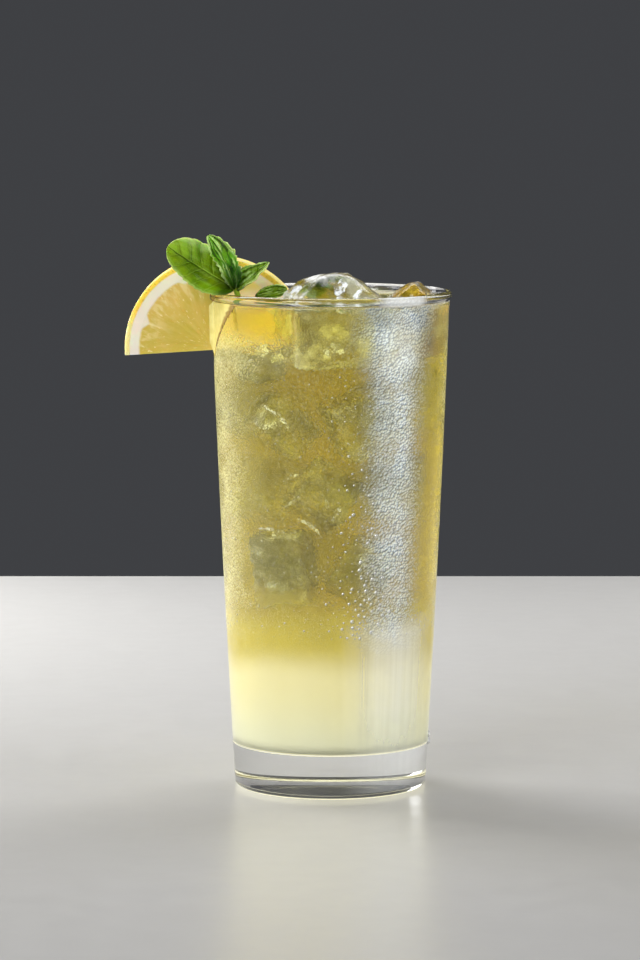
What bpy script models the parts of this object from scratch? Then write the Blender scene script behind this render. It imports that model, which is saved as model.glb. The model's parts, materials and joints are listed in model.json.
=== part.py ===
"""Tall glass of iced tea with ice, a half wheel of lemon on the rim and a sprig of mint.

The origin is the middle of the glass's underside, +Z is up, and -Y is the side that faces the viewer,
so the lemon hangs on the rim towards -X. Lengths are in metres, written as millimetres times MM.
"""
import math

import bmesh
import bpy
from mathutils import Euler, Matrix, Vector

MM = 0.001

# Glass: a slightly bowed taper on a thick clear foot, with a rolled bead at the brim
GLASS_HEIGHT = 160.0 * MM
FOOT_RADIUS = 30.8 * MM
BRIM_RADIUS = 38.25 * MM
WALL_BOW = 0.38 * MM
WALL = 2.0 * MM
FLOOR = 14.0 * MM
FOOT_ROUND = 2.0 * MM
FLOOR_ROUND = 4.0 * MM
BEAD_RADIUS = 1.35 * MM
BEAD_OVERHANG = 0.75 * MM
BEAD_TUCK = math.radians(-62.0)
GLASS_STEPS = 72
WALL_ROWS = 5
BEAD_STEPS = 8
CORNER_STEPS = 3
WELD = 0.01 * MM

# Touching pieces keep this much air between them
GAP = 0.3 * MM

# Edges sharper than this stay sharp in the shading
SHARP_EDGE = math.radians(35.0)

# Drink: pale sweetened layer at the bottom, clear tea above it, filled almost to the brim
TEA_LEVEL = 157.0 * MM
PALE_LEVEL = 43.0 * MM
DRINK_STEPS = 64
TEA_ROWS = 6
PALE_ROWS = 3

# Lemon: half a wheel hung on the rim by a slit up from its straight side
WHEEL_RADIUS = 29.6 * MM
WHEEL_THICKNESS = 6.0 * MM
WHEEL_CENTRE = Vector((-36.1, -4.0, 141.8)) * MM
WHEEL_LEAN = math.radians(5.0)
WHEEL_TILT = math.radians(-4.0)
WHEEL_SWING = math.radians(-4.0)
WHEEL_RINGS = 7
WHEEL_SECTORS = 40
WHEEL_BOW = 0.6 * MM
RIND_ROUND = 0.7 * MM
RIND_EDGE = math.radians(50.0)
SLIT_BELOW = 12.0 * MM

# Ice: two melting blocks that stand out of the tea. Each slope is a cut plane: normal, then a point on it
ICE_ROUND = 1.6 * MM
ICE_EDGE = math.radians(8.0)
CENTRE_ICE = dict(
    centre=Vector((2.2, -18.4, 153.0)) * MM,
    size=Vector((31.0, 20.0, 31.0)) * MM,
    turn=math.radians(12.8),
    slopes=(
        ((-0.17, 0.0, 0.98), (-8.8, -14.0, 165.0)),
        ((-0.62, -0.20, 0.76), (-8.8, -14.0, 164.7)),
        ((0.58, 0.0, 0.82), (6.8, -17.0, 165.6)),
        ((0.10, -0.80, 0.60), (3.0, -24.0, 164.5)),
        ((-0.05, 0.62, 0.78), (3.0, -10.5, 165.5)),
        ((0.45, -0.30, -0.84), (14.0, -22.0, 141.0)),
        ((-0.60, 0.20, -0.77), (-11.0, -16.0, 142.0)),
    ),
)
RIGHT_ICE = dict(
    centre=Vector((25.7, -3.0, 151.4)) * MM,
    size=Vector((12.2, 20.0, 23.0)) * MM,
    turn=math.radians(-8.0),
    slopes=(
        ((-0.57, -0.04, 0.82), (24.6, -3.0, 162.2)),
        ((0.66, -0.05, 0.75), (28.2, -3.0, 162.5)),
        ((0.05, -0.72, 0.69), (27.0, -9.0, 161.8)),
        ((-0.05, 0.70, 0.71), (27.0, 3.5, 161.8)),
        ((0.20, 0.40, -0.89), (28.0, 4.0, 142.5)),
    ),
)

# Mint: one sprig of a stem and three leaves in front of the lemon, and two loose leaves
STEM_RADIUS = 0.9 * MM
STEM_PATH = (
    (-26.6, -13.6, 148.0),
    (-27.6, -14.6, 153.0),
    (-28.8, -15.6, 158.0),
    (-30.0, -16.2, 161.5),
    (-31.2, -16.2, 164.5),
)
LEAF_THICKNESS = 0.6 * MM
LEAF_ROWS = 18
LEAF_COLUMNS = 6
LEAF_END = 0.35 * MM
LEAF_BLUNTNESS = 2.3
LEAF_TOOTH = 0.05
LEAF_EDGE = 0.99
SPRIG_LEAVES = dict(
    big=dict(
        base=(-30.3, -16.6, 161.9), tip=(-51.3, -18.6, 175.2), face=(0.20, -0.93, 0.28),
        half_width=7.2, taper=0.5, arch=1.0, sway=0.6, fold=0.36, ripple=0.10, waves=1.5,
    ),
    upright=dict(
        base=(-30.2, -16.7, 161.6), tip=(-38.6, -20.8, 178.8), face=(0.42, -0.90, 0.10),
        half_width=3.7, taper=0.55, arch=1.0, sway=-0.8, fold=0.34, ripple=0.12, waves=1.3,
    ),
    right=dict(
        base=(-29.8, -16.0, 161.2), tip=(-19.4, -14.4, 169.9), face=(-0.50, -0.64, 0.58),
        half_width=4.1, taper=0.9, lead=0.55, arch=0.3, sway=-0.7, fold=0.60, ripple=0.08, waves=1.2,
    ),
)
LOOSE_LEAVES = dict(
    mint_leaf_front=dict(
        base=(-23.8, -14.4, 158.8), tip=(-13.8, -10.8, 161.2), face=(0.30, -0.93, 0.15),
        half_width=2.2, taper=0.5, arch=0.3, sway=0.3, fold=0.10, ripple=0.08, waves=1.2,
    ),
    mint_leaf_behind=dict(
        base=(-9.4, -6.6, 159.9), tip=(12.4, -1.6, 159.9), face=(0.10, 0.66, 0.74),
        half_width=4.2, taper=0.6, arch=0.8, sway=0.4, fold=0.12, ripple=0.08, waves=1.4,
    ),
)


def outer_radius(z):
    """The outside of the wall at height z: foot to brim in a straight line, plus a shallow parabola."""
    t = z / GLASS_HEIGHT
    return FOOT_RADIUS + (BRIM_RADIUS - FOOT_RADIUS) * t + WALL_BOW * 4.0 * t * (1.0 - t)


def inner_radius(z):
    return outer_radius(z) - WALL


def arc(centre_r, centre_z, radius, start, end, steps):
    """Points (radius, height) on a circular arc from the angle start to the angle end."""
    angles = [start + (end - start) * i / steps for i in range(steps + 1)]
    return [(centre_r + radius * math.cos(a), centre_z + radius * math.sin(a)) for a in angles]


def wall_points(radius_at, low, high, steps, offset=0.0):
    """Points up the wall from low to high, moved outwards by offset."""
    heights = [low + (high - low) * i / steps for i in range(steps + 1)]
    return [(radius_at(z) + offset, z) for z in heights]


def bead_arc(grow, steps):
    """The bead's section, from the inside of the wall over the brim and down to the outside of the wall."""
    centre_r = BRIM_RADIUS + BEAD_OVERHANG - BEAD_RADIUS
    centre_z = GLASS_HEIGHT - BEAD_RADIUS
    return arc(centre_r, centre_z, BEAD_RADIUS + grow, math.pi, BEAD_TUCK, steps)


def clear_scene():
    for old in list(bpy.data.objects):
        bpy.data.objects.remove(old, do_unlink=True)


def new_collection(name):
    made = bpy.data.collections.new(name)
    bpy.context.scene.collection.children.link(made)
    return made


def finish(name, colour, roughness, transmission=0.0, ior=1.45):
    """A Principled material for one sub-part."""
    material = bpy.data.materials.new(name)
    material.use_nodes = True
    shader = material.node_tree.nodes["Principled BSDF"]
    shader.inputs["Base Color"].default_value = (*colour, 1.0)
    shader.inputs["Roughness"].default_value = roughness
    shader.inputs["Metallic"].default_value = 0.0
    shader.inputs["Transmission Weight"].default_value = transmission
    shader.inputs["IOR"].default_value = ior
    return material


def place(name, mesh, collection, material=None):
    made = bpy.data.objects.new(name, mesh)
    collection.objects.link(made)
    if material:
        mesh.materials.append(material)
    return made


def as_cutter(obj):
    obj.hide_render = True
    obj.display_type = "WIRE"
    return obj


def baked(obj):
    """Replace an object's mesh by its evaluated one, in world space, and drop its modifiers."""
    bpy.context.view_layer.update()
    evaluated = obj.evaluated_get(bpy.context.evaluated_depsgraph_get())
    mesh = bpy.data.meshes.new_from_object(evaluated)
    mesh.transform(obj.matrix_world)
    obj.modifiers.clear()
    obj.data = mesh
    obj.matrix_world = Matrix.Identity(4)
    return obj


def turned(name, profile, steps, collection, material=None, closed=False):
    """A solid of revolution from a profile of (radius, height) points that ends by running down outside."""
    edges = [(i, i + 1) for i in range(len(profile) - 1)]
    if closed:
        edges.append((len(profile) - 1, 0))
    mesh = bpy.data.meshes.new(name)
    mesh.from_pydata([(r, 0.0, z) for r, z in profile], edges, [])
    made = place(name, mesh, collection, material)
    screw = made.modifiers.new("Turn", "SCREW")
    screw.axis = "Z"
    screw.steps = steps
    screw.render_steps = steps
    screw.use_merge_vertices = True
    screw.merge_threshold = WELD
    screw.use_smooth_shade = True
    return made


def make_glass(collection):
    floor_arc_r = inner_radius(FLOOR + FLOOR_ROUND) - FLOOR_ROUND
    floor_arc_z = FLOOR + FLOOR_ROUND
    bead_z = GLASS_HEIGHT - BEAD_RADIUS
    profile = [(0.0, FLOOR)]
    profile += arc(floor_arc_r, floor_arc_z, FLOOR_ROUND, -math.pi / 2, 0.0, CORNER_STEPS)
    profile += wall_points(inner_radius, floor_arc_z, bead_z, WALL_ROWS)[1:-1]
    profile += bead_arc(0.0, BEAD_STEPS)
    profile += reversed(wall_points(outer_radius, FOOT_ROUND, bead_z - BEAD_RADIUS, WALL_ROWS)[:-1])
    foot_arc_r = outer_radius(FOOT_ROUND) - FOOT_ROUND
    profile += arc(foot_arc_r, FOOT_ROUND, FOOT_ROUND, 0.0, -math.pi / 2, CORNER_STEPS)[1:]
    profile.append((0.0, 0.0))
    material = finish("clear glass", (0.95, 0.97, 0.96), 0.02, transmission=1.0, ior=1.5)
    return turned("glass", profile, GLASS_STEPS, collection, material)


def wall_cutter(collection):
    """The wall and its bead, grown by the gap: what the lemon's slit is cut with."""
    low = WHEEL_CENTRE.z - SLIT_BELOW
    bead_z = GLASS_HEIGHT - BEAD_RADIUS
    profile = wall_points(inner_radius, low, bead_z, WALL_ROWS, -GAP)[:-1]
    profile += bead_arc(GAP, BEAD_STEPS)
    profile += reversed(wall_points(outer_radius, low, bead_z - BEAD_RADIUS, WALL_ROWS, GAP)[:-1])
    return as_cutter(turned("wall cutter", profile, GLASS_STEPS, collection, closed=True))


def half_wheel(name, collection, material=None, grow=0.0):
    """Half a wheel: a radial row of points spun half a turn, bowed a little, given its thickness.

    The middle of the straight side is the object's own origin, and grow fattens the piece all round.
    """
    reach = WHEEL_RADIUS + 2.0 * grow
    sheet = bmesh.new()
    row = [sheet.verts.new((reach * i / WHEEL_RINGS, 0.0, 0.0)) for i in range(WHEEL_RINGS + 1)]
    spokes = [sheet.edges.new(pair) for pair in zip(row, row[1:])]
    bmesh.ops.spin(sheet, geom=row + spokes, cent=(0, 0, 0), axis=(0, -1, 0), angle=math.pi,
                   steps=WHEEL_SECTORS, use_merge=False)
    bmesh.ops.remove_doubles(sheet, verts=sheet.verts, dist=1e-6)
    for vert in sheet.verts:
        vert.co.y += WHEEL_BOW * (vert.co.x / WHEEL_RADIUS) ** 2
    bmesh.ops.recalc_face_normals(sheet, faces=sheet.faces)
    mesh = bpy.data.meshes.new(name)
    sheet.to_mesh(mesh)
    sheet.free()
    made = place(name, mesh, collection, material)
    made.location = WHEEL_CENTRE - Vector((0.0, 0.0, grow))
    made.rotation_euler = Euler((WHEEL_LEAN, WHEEL_TILT, WHEEL_SWING))
    slab = made.modifiers.new("Thickness", "SOLIDIFY")
    slab.thickness = WHEEL_THICKNESS + 2.0 * grow
    slab.offset = 0.0
    return made


def make_lemon(collection, cutters):
    material = finish("lemon", (0.86, 0.74, 0.20), 0.45)
    made = half_wheel("lemon_slice", collection, material)
    rind = made.modifiers.new("Rounded rind", "BEVEL")
    rind.width = RIND_ROUND
    rind.segments = 2
    rind.limit_method = "ANGLE"
    rind.angle_limit = RIND_EDGE
    slit = made.modifiers.new("Slit for the wall", "BOOLEAN")
    slit.operation = "DIFFERENCE"
    slit.object = wall_cutter(cutters)
    return made


def ice_block(name, block, collection, material=None, grow=0.0):
    """A box turned about Z, with its melted corners cut away by planes and its edges rounded."""
    lump = bmesh.new()
    bmesh.ops.create_cube(lump, size=1.0)
    size = block["size"] + Vector((2.0, 2.0, 2.0)) * grow
    bmesh.ops.scale(lump, vec=size, verts=lump.verts)
    bmesh.ops.rotate(lump, matrix=Matrix.Rotation(block["turn"], 3, "Z"), verts=lump.verts)
    bmesh.ops.translate(lump, vec=block["centre"], verts=lump.verts)
    for normal, point in block["slopes"]:
        outwards = Vector(normal).normalized()
        on_plane = Vector(point) * MM + outwards * grow
        geometry = lump.verts[:] + lump.edges[:] + lump.faces[:]
        cut = bmesh.ops.bisect_plane(lump, geom=geometry, dist=1e-7, plane_co=on_plane,
                                     plane_no=outwards, clear_outer=True)
        rim = [item for item in cut["geom_cut"] if isinstance(item, bmesh.types.BMEdge)]
        bmesh.ops.contextual_create(lump, geom=rim)
    bmesh.ops.recalc_face_normals(lump, faces=lump.faces)
    mesh = bpy.data.meshes.new(name)
    lump.to_mesh(mesh)
    lump.free()
    made = place(name, mesh, collection, material)
    rounding = made.modifiers.new("Melted edges", "BEVEL")
    rounding.width = ICE_ROUND
    rounding.segments = 3
    rounding.limit_method = "ANGLE"
    rounding.angle_limit = ICE_EDGE
    return made


def leaf(name, shape, collection, material=None):
    """A mint leaf from base to tip, with its upper side towards the face direction.

    The half width is a superellipse from base to tip, pointed by taper, widest where lead puts it,
    and with small teeth. Across the leaf each half rises from the midrib by fold, and its edge waves
    by ripple. Arch and sway bend the midrib.
    """
    base = Vector(shape["base"]) * MM
    run = Vector(shape["tip"]) * MM - base
    along = run.normalized()
    side = Vector(shape["face"]).cross(along).normalized()
    up = along.cross(side)
    sheet = bmesh.new()
    bmesh.ops.create_grid(sheet, x_segments=LEAF_COLUMNS, y_segments=LEAF_ROWS, size=1.0)
    for vert in sheet.verts:
        across = vert.co.x
        s = 0.5 * (vert.co.y + 1.0)
        row = round(s * LEAF_ROWS)
        led = s ** shape.get("lead", 1.0)
        roundness = max(1.0 - abs(2.0 * led - 1.0) ** LEAF_BLUNTNESS, 0.0) ** shape["taper"]
        width = max(shape["half_width"] * MM * roundness, LEAF_END)
        tooth = 1.0 + LEAF_TOOTH * (-1) ** row if abs(across) > LEAF_EDGE else 1.0
        bend = 4.0 * s * (1.0 - s)
        wave = shape["ripple"] * math.sin(2.0 * math.pi * shape["waves"] * s + across) * across ** 2
        lift = shape["arch"] * MM * bend + width * (shape["fold"] * abs(across) + wave)
        shift = width * across * tooth + shape["sway"] * MM * bend
        vert.co = base + run * s + side * shift + up * lift
    bmesh.ops.triangulate(sheet, faces=sheet.faces)
    bmesh.ops.recalc_face_normals(sheet, faces=sheet.faces)
    mesh = bpy.data.meshes.new(name)
    sheet.to_mesh(mesh)
    sheet.free()
    made = place(name, mesh, collection, material)
    slab = made.modifiers.new("Thickness", "SOLIDIFY")
    slab.thickness = LEAF_THICKNESS
    slab.offset = 0.0
    return made


def stem(name, collection, material=None, grow=0.0):
    """The sprig's stem: a round tube along its path, with its caps welded on."""
    curve = bpy.data.curves.new(name, "CURVE")
    curve.dimensions = "3D"
    curve.bevel_depth = STEM_RADIUS + grow
    curve.bevel_resolution = 2
    curve.use_fill_caps = True
    spline = curve.splines.new("POLY")
    spline.points.add(len(STEM_PATH) - 1)
    for point, place_mm in zip(spline.points, STEM_PATH):
        point.co = (*(Vector(place_mm) * MM), 1.0)
    spline.points[0].co.z -= grow
    tube = bpy.data.objects.new(name, curve)
    collection.objects.link(tube)
    bpy.context.view_layer.update()
    evaluated = tube.evaluated_get(bpy.context.evaluated_depsgraph_get())
    mesh = bpy.data.meshes.new_from_object(evaluated)
    bpy.data.objects.remove(tube, do_unlink=True)
    welded = bmesh.new()
    welded.from_mesh(mesh)
    bmesh.ops.remove_doubles(welded, verts=welded.verts, dist=1e-6)
    bmesh.ops.recalc_face_normals(welded, faces=welded.faces)
    welded.to_mesh(mesh)
    welded.free()
    mesh.materials.clear()
    return place(name, mesh, collection, material)


def make_sprig(collection):
    """The stem and its three leaves, joined into one piece."""
    material = finish("mint", (0.16, 0.42, 0.03), 0.42)
    sprig = stem("mint_sprig", collection, material)
    leaves = new_collection("sprig leaves")
    for name, shape in SPRIG_LEAVES.items():
        baked(leaf("leaf " + name, shape, leaves, material))
    join = sprig.modifiers.new("Leaves on the stem", "BOOLEAN")
    join.operation = "UNION"
    join.operand_type = "COLLECTION"
    join.collection = leaves
    baked(sprig)
    for joined in list(leaves.objects):
        bpy.data.objects.remove(joined, do_unlink=True)
    bpy.data.collections.remove(leaves)
    return material


def make_drink(collection, hollows):
    """Both layers of the drink. The tea has hollows round whatever dips into it."""
    pale = finish("pale layer", (0.86, 0.84, 0.62), 0.25)
    tea = finish("tea", (0.62, 0.54, 0.16), 0.10, transmission=0.6, ior=1.34)
    floor_arc_r = inner_radius(FLOOR + FLOOR_ROUND) - FLOOR_ROUND
    floor_arc_z = FLOOR + FLOOR_ROUND
    low = [(0.0, PALE_LEVEL)]
    low += reversed(wall_points(inner_radius, floor_arc_z, PALE_LEVEL, PALE_ROWS, -GAP)[1:])
    low += arc(floor_arc_r, floor_arc_z, FLOOR_ROUND - GAP, 0.0, -math.pi / 2, CORNER_STEPS)
    low.append((0.0, FLOOR + GAP))
    turned("drink_pale_layer", low, DRINK_STEPS, collection, pale)
    high = [(0.0, TEA_LEVEL)]
    high += reversed(wall_points(inner_radius, PALE_LEVEL + GAP, TEA_LEVEL, TEA_ROWS, -GAP))
    high.append((0.0, PALE_LEVEL + GAP))
    upper = turned("drink_tea", high, DRINK_STEPS, collection, tea)
    hollow = upper.modifiers.new("Room for what dips in", "BOOLEAN")
    hollow.operation = "DIFFERENCE"
    hollow.operand_type = "COLLECTION"
    hollow.collection = hollows


clear_scene()
parts = new_collection("glass of iced tea")
cutters = new_collection("cutters")
hollows = new_collection("hollows in the tea")

make_glass(parts)
make_lemon(parts, cutters)
ice = finish("ice", (0.90, 0.93, 0.92), 0.05, transmission=0.9, ior=1.31)
ice_block("ice_centre", CENTRE_ICE, parts, ice)
ice_block("ice_right", RIGHT_ICE, parts, ice)
mint = make_sprig(parts)
for leaf_name, leaf_shape in LOOSE_LEAVES.items():
    leaf(leaf_name, leaf_shape, parts, mint)

as_cutter(half_wheel("lemon hollow", hollows, grow=GAP))
as_cutter(ice_block("centre ice hollow", CENTRE_ICE, hollows, grow=GAP))
as_cutter(ice_block("right ice hollow", RIGHT_ICE, hollows, grow=GAP))
as_cutter(stem("stem hollow", hollows, grow=GAP))
make_drink(parts, hollows)

for part in parts.objects:
    part.data.shade_smooth()
    part.data.set_sharp_from_angle(angle=SHARP_EDGE)
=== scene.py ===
"""Looks for the tall glass of iced tea: every piece that shows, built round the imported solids.

The origin is the middle of the glass's underside, +Z is up, and the viewer is on the -Y side.
"""
import json
import math

import bmesh
import bpy
import numpy as np
from mathutils import Euler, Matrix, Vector

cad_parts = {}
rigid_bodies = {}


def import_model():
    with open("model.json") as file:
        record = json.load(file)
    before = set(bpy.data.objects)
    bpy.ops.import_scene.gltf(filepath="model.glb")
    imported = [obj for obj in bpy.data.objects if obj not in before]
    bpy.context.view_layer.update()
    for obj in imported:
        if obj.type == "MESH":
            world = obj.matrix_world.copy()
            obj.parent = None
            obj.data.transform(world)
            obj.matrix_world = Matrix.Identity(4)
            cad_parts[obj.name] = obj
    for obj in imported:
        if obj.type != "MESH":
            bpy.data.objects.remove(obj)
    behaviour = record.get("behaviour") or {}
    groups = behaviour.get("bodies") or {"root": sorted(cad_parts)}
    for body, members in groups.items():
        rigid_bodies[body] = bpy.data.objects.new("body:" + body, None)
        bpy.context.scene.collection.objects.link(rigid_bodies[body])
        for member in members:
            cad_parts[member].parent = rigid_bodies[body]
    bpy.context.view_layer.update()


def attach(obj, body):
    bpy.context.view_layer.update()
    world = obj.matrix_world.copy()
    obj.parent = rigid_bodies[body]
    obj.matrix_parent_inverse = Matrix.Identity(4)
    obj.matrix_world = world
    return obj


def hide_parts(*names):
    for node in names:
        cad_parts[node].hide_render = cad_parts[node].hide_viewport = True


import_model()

scene = bpy.context.scene


# Camera. A long lens a good arm's length away, a little above the brim and looking slightly down, so that
# the brim shows as a narrow ellipse. 36 mm of sensor lies along the picture's tall side.
CAMERA_PLACE = (-0.003326, -1.40635, 0.25808)
CAMERA_DIP = math.radians(6.4568)
CAMERA_LENS = 164.994

camera = bpy.data.objects.new("camera", bpy.data.cameras.new("camera"))
scene.collection.objects.link(camera)
camera.location = CAMERA_PLACE
camera.rotation_euler = (math.radians(90.0) - CAMERA_DIP, 0.0, 0.0)
camera.data.lens = CAMERA_LENS
scene.camera = camera
scene.view_settings.view_transform = "Standard"

# Light has to pass the wall, the drink and the ice and come out again
DEEPEST_PATH = 24
scene.cycles.max_bounces = DEEPEST_PATH
scene.cycles.transmission_bounces = DEEPEST_PATH
scene.cycles.transparent_max_bounces = DEEPEST_PATH


# Floor. A pale, faintly glossy tabletop, which ends behind the glass so that the glass stands against the
# quiet grey of the room.
MM = 0.001
FLOOR_HALF_WIDTH = 1.3
FLOOR_FRONT = -1.55
FLOOR_BACK = 0.50
WELD_GAP = 1e-7


class Signal:
    """A socket in a material. Sums on it add their Math nodes."""

    def __init__(self, finish, socket):
        self.finish, self.socket = finish, socket

    def _sum(self, operation, *terms):
        return self.finish.node("Math", dict(enumerate(terms)), operation=operation)

    def __add__(self, other):
        return self._sum("ADD", self, other)

    __radd__ = __add__

    def __sub__(self, other):
        return self._sum("SUBTRACT", self, other)

    def __rsub__(self, other):
        return self._sum("SUBTRACT", other, self)

    def __mul__(self, other):
        return self._sum("MULTIPLY", self, other)

    __rmul__ = __mul__

    def __truediv__(self, other):
        return self._sum("DIVIDE", self, other)

    def __pow__(self, other):
        return self._sum("POWER", self, other)

    def __abs__(self):
        return self._sum("ABSOLUTE", self)


class Finish:
    """A material while it is being mixed: node() adds any node, settings first and then sockets."""

    def __init__(self, name):
        self.material = bpy.data.materials.new(name)
        self.material.use_nodes = True
        self.tree = self.material.node_tree
        self.tree.nodes.clear()
        self.result = self.tree.nodes.new("ShaderNodeOutputMaterial")

    def node(self, kind, sockets=None, out=0, **settings):
        made = self.tree.nodes.new("ShaderNode" + kind)
        for name, value in settings.items():
            setattr(made, name, value)
        for name, value in (sockets or {}).items():
            socket = made.inputs[name]
            if isinstance(value, Signal):
                self.tree.links.new(value.socket, socket)
            elif socket.type == "RGBA":
                socket.default_value = (*value, 1.0)
            else:
                socket.default_value = value
        return Signal(self, made.outputs[out])

    def place(self):
        """Where the point lies on the whole object."""
        return self.node("TexCoord", out="Object")

    def part(self, vector, axis):
        """One coordinate of a vector: X, Y or Z."""
        return self.node("SeparateXYZ", {"Vector": vector}, axis)

    def sheet(self, axis):
        """How far along X (U) or Y (V) of the piece's own UV map the point lies."""
        return self.part(self.node("UVMap", uv_map="UVMap"), axis)

    def noise(self, place, scale, detail=3.0, rough=0.5):
        return self.node("TexNoise", {"Vector": place, "Scale": scale, "Detail": detail, "Roughness": rough})

    def cells(self, place, scale, out="Distance", feature="F1"):
        """Cells about scattered points: the distance to the nearest point, or what out and feature say."""
        return self.node("TexVoronoi", {"Vector": place, "Scale": scale}, out, feature=feature)

    def step(self, value, low, high, start=0.0, end=1.0):
        """start below low, end above high, and a smooth rise in between."""
        sockets = {"Value": value, "From Min": low, "From Max": high, "To Min": start, "To Max": end}
        return self.node("MapRange", sockets, interpolation_type="SMOOTHSTEP")

    def fade(self, value, low, high, start=1.0):
        """start below low, 0 above high, and a smooth fall in between."""
        return self.step(value, low, high, start, 0.0)

    def band(self, value, rise, fall):
        """0, and 1 between two spans: it comes up over the first and goes down over the second."""
        return self.step(value, *rise) * self.fade(value, *fall)

    def blend(self, share, first, second):
        """The colour first, with a share of second."""
        return self.node("Mix", {0: share, 6: first, 7: second}, out=2, data_type="RGBA")

    def coated(self, ground, *coats):
        """A ground colour under coats, each of them a share and a screen colour."""
        for share, colour in coats:
            ground = self.blend(share, ground, tint(*colour))
        return ground

    def bump(self, height, distance, strength):
        return self.node("Bump", {"Height": height, "Distance": distance, "Strength": strength})

    def shader(self, sockets):
        return self.node("BsdfPrincipled", sockets)

    def clear(self, colour=(1.0, 1.0, 1.0)):
        """Lets light straight through, and tints it."""
        return self.node("BsdfTransparent", {"Color": colour})

    def mixed(self, share, first, second):
        """The shader first, with a share of second."""
        return self.node("MixShader", {0: share, 1: first, 2: second})

    def done(self, surface, volume=None):
        self.tree.links.new(surface.socket, self.result.inputs["Surface"])
        if volume:
            self.tree.links.new(volume.socket, self.result.inputs["Volume"])


def tint(red, green, blue):
    """A screen colour of 0 to 255 as the linear numbers that a shader takes."""
    share = np.array([red, green, blue]) / 255.0
    return tuple(np.where(share < 0.04045, share / 12.92, ((share + 0.055) / 1.055) ** 2.4).tolist())


def piece(name, points, faces, *finishes, uv=None):
    """A smooth-shaded mesh object from arrays of points and of faces, and a (u, v) for each point."""
    mesh = bpy.data.meshes.new(name)
    mesh.from_pydata(np.asarray(points).reshape(-1, 3).tolist(), [], np.asarray(faces).tolist())
    for finish in finishes:
        mesh.materials.append(finish.material)
    if uv is not None:
        corners = np.empty(len(mesh.loops), np.int32)
        mesh.loops.foreach_get("vertex_index", corners)
        layer = mesh.uv_layers.new(name="UVMap")
        layer.data.foreach_set("uv", np.asarray(uv).reshape(-1, 2)[corners].astype(np.float32).ravel())
    mesh.polygons.foreach_set("use_smooth", np.ones(len(mesh.polygons), bool))
    made = bpy.data.objects.new(name, mesh)
    scene.collection.objects.link(made)
    return made


def grid_faces(rows, columns, closed=False):
    """Squares between the points of a grid, and from its last column to its first where it is closed."""
    row, column = np.meshgrid(
        np.arange(rows - 1), np.arange(columns if closed else columns - 1), indexing="ij")
    here, after = row * columns, (column + 1) % columns
    corners = here + column, here + after, here + columns + after, here + columns + column
    return np.stack(corners, -1).reshape(-1, 4)


def welded(made, gap=WELD_GAP):
    """Joins points that lie together, as at a pole or a seam, and turns all faces outwards."""
    solid = bmesh.new()
    solid.from_mesh(made.data)
    bmesh.ops.remove_doubles(solid, verts=solid.verts, dist=gap)
    bmesh.ops.recalc_face_normals(solid, faces=solid.faces)
    solid.to_mesh(made.data)
    solid.free()
    return made


tabletop = Finish("pale tabletop")
grain = tabletop.noise(tabletop.place(), 90.0, detail=4.0)
tabletop.done(tabletop.shader({
    "Base Color": tabletop.blend(grain, (0.42, 0.413, 0.40), (0.43, 0.423, 0.41)),
    "Roughness": tabletop.step(grain, 0.3, 0.7, 0.30, 0.34),
}))
floor_points = [
    (x, y, 0.0) for y in (FLOOR_FRONT, FLOOR_BACK) for x in (-FLOOR_HALF_WIDTH, FLOOR_HALF_WIDTH)]
floor = piece("floor", floor_points, [(0, 1, 3, 2)], tabletop)


# Light. A large soft light above the viewer's left shoulder shows the lemon and the mint, and one overhead
# at the back rims the ice. Dim ones at the sides light the mist, two behind make the tea glow, a card there
# is what the glass's right edge shows, and a tall card on the right makes the mist's silvery band.
AIM = (0.0, 0.0, 0.09)
GLOW_ONLY = ("glossy", "transmission")
SHINE_ONLY = ("diffuse", "volume_scatter", "transmission")
SEEN_THROUGH_ONLY = ("diffuse", "volume_scatter", "glossy")
ROOM_GREY = (0.050, 0.052, 0.057, 1.0)


def softbox(name, place, width, height, watts, hidden=()):
    """A rectangle of light aimed at the glass, and the kinds of ray that don't see it."""
    lamp = bpy.data.lights.new(name, "AREA")
    lamp.shape = "RECTANGLE"
    lamp.size, lamp.size_y = width, height
    lamp.energy = watts
    made = bpy.data.objects.new(name, lamp)
    scene.collection.objects.link(made)
    made.location = place
    made.rotation_euler = (Vector(AIM) - Vector(place)).to_track_quat("-Z", "Y").to_euler()
    for kind in ("camera", *hidden):
        setattr(made, "visible_" + kind, False)


softbox("light_over_shoulder", (-0.50, -0.72, 0.70), 0.60, 0.60, 6.5)
softbox("light_overhead", (0.05, 0.34, 0.80), 0.60, 0.35, 3.0)
softbox("light_right", (0.60, -0.24, 0.18), 0.40, 0.40, 2.7, GLOW_ONLY)
softbox("light_left", (-0.70, -0.12, 0.22), 0.30, 0.40, 1.25, GLOW_ONLY)
softbox("glow_back_left", (-0.42, 0.42, 0.30), 0.35, 0.45, 7.0, GLOW_ONLY)
softbox("glow_back_right", (0.46, 0.50, 0.30), 0.30, 0.45, 2.6, GLOW_ONLY)
softbox("card_right", (0.363, -0.169, 0.12), 0.30, 0.40, 0.48, SHINE_ONLY)
softbox("card_left", (-0.60, -0.14, 0.32), 0.30, 0.24, 1.2, SHINE_ONLY)
softbox("card_back_left", (-0.51, 0.38, 0.14), 0.20, 0.40, 1.1, SEEN_THROUGH_ONLY)

room = bpy.data.worlds.new("room")
scene.world = room
room.use_nodes = True
room.node_tree.nodes["Background"].inputs["Color"].default_value = ROOM_GREY


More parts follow.
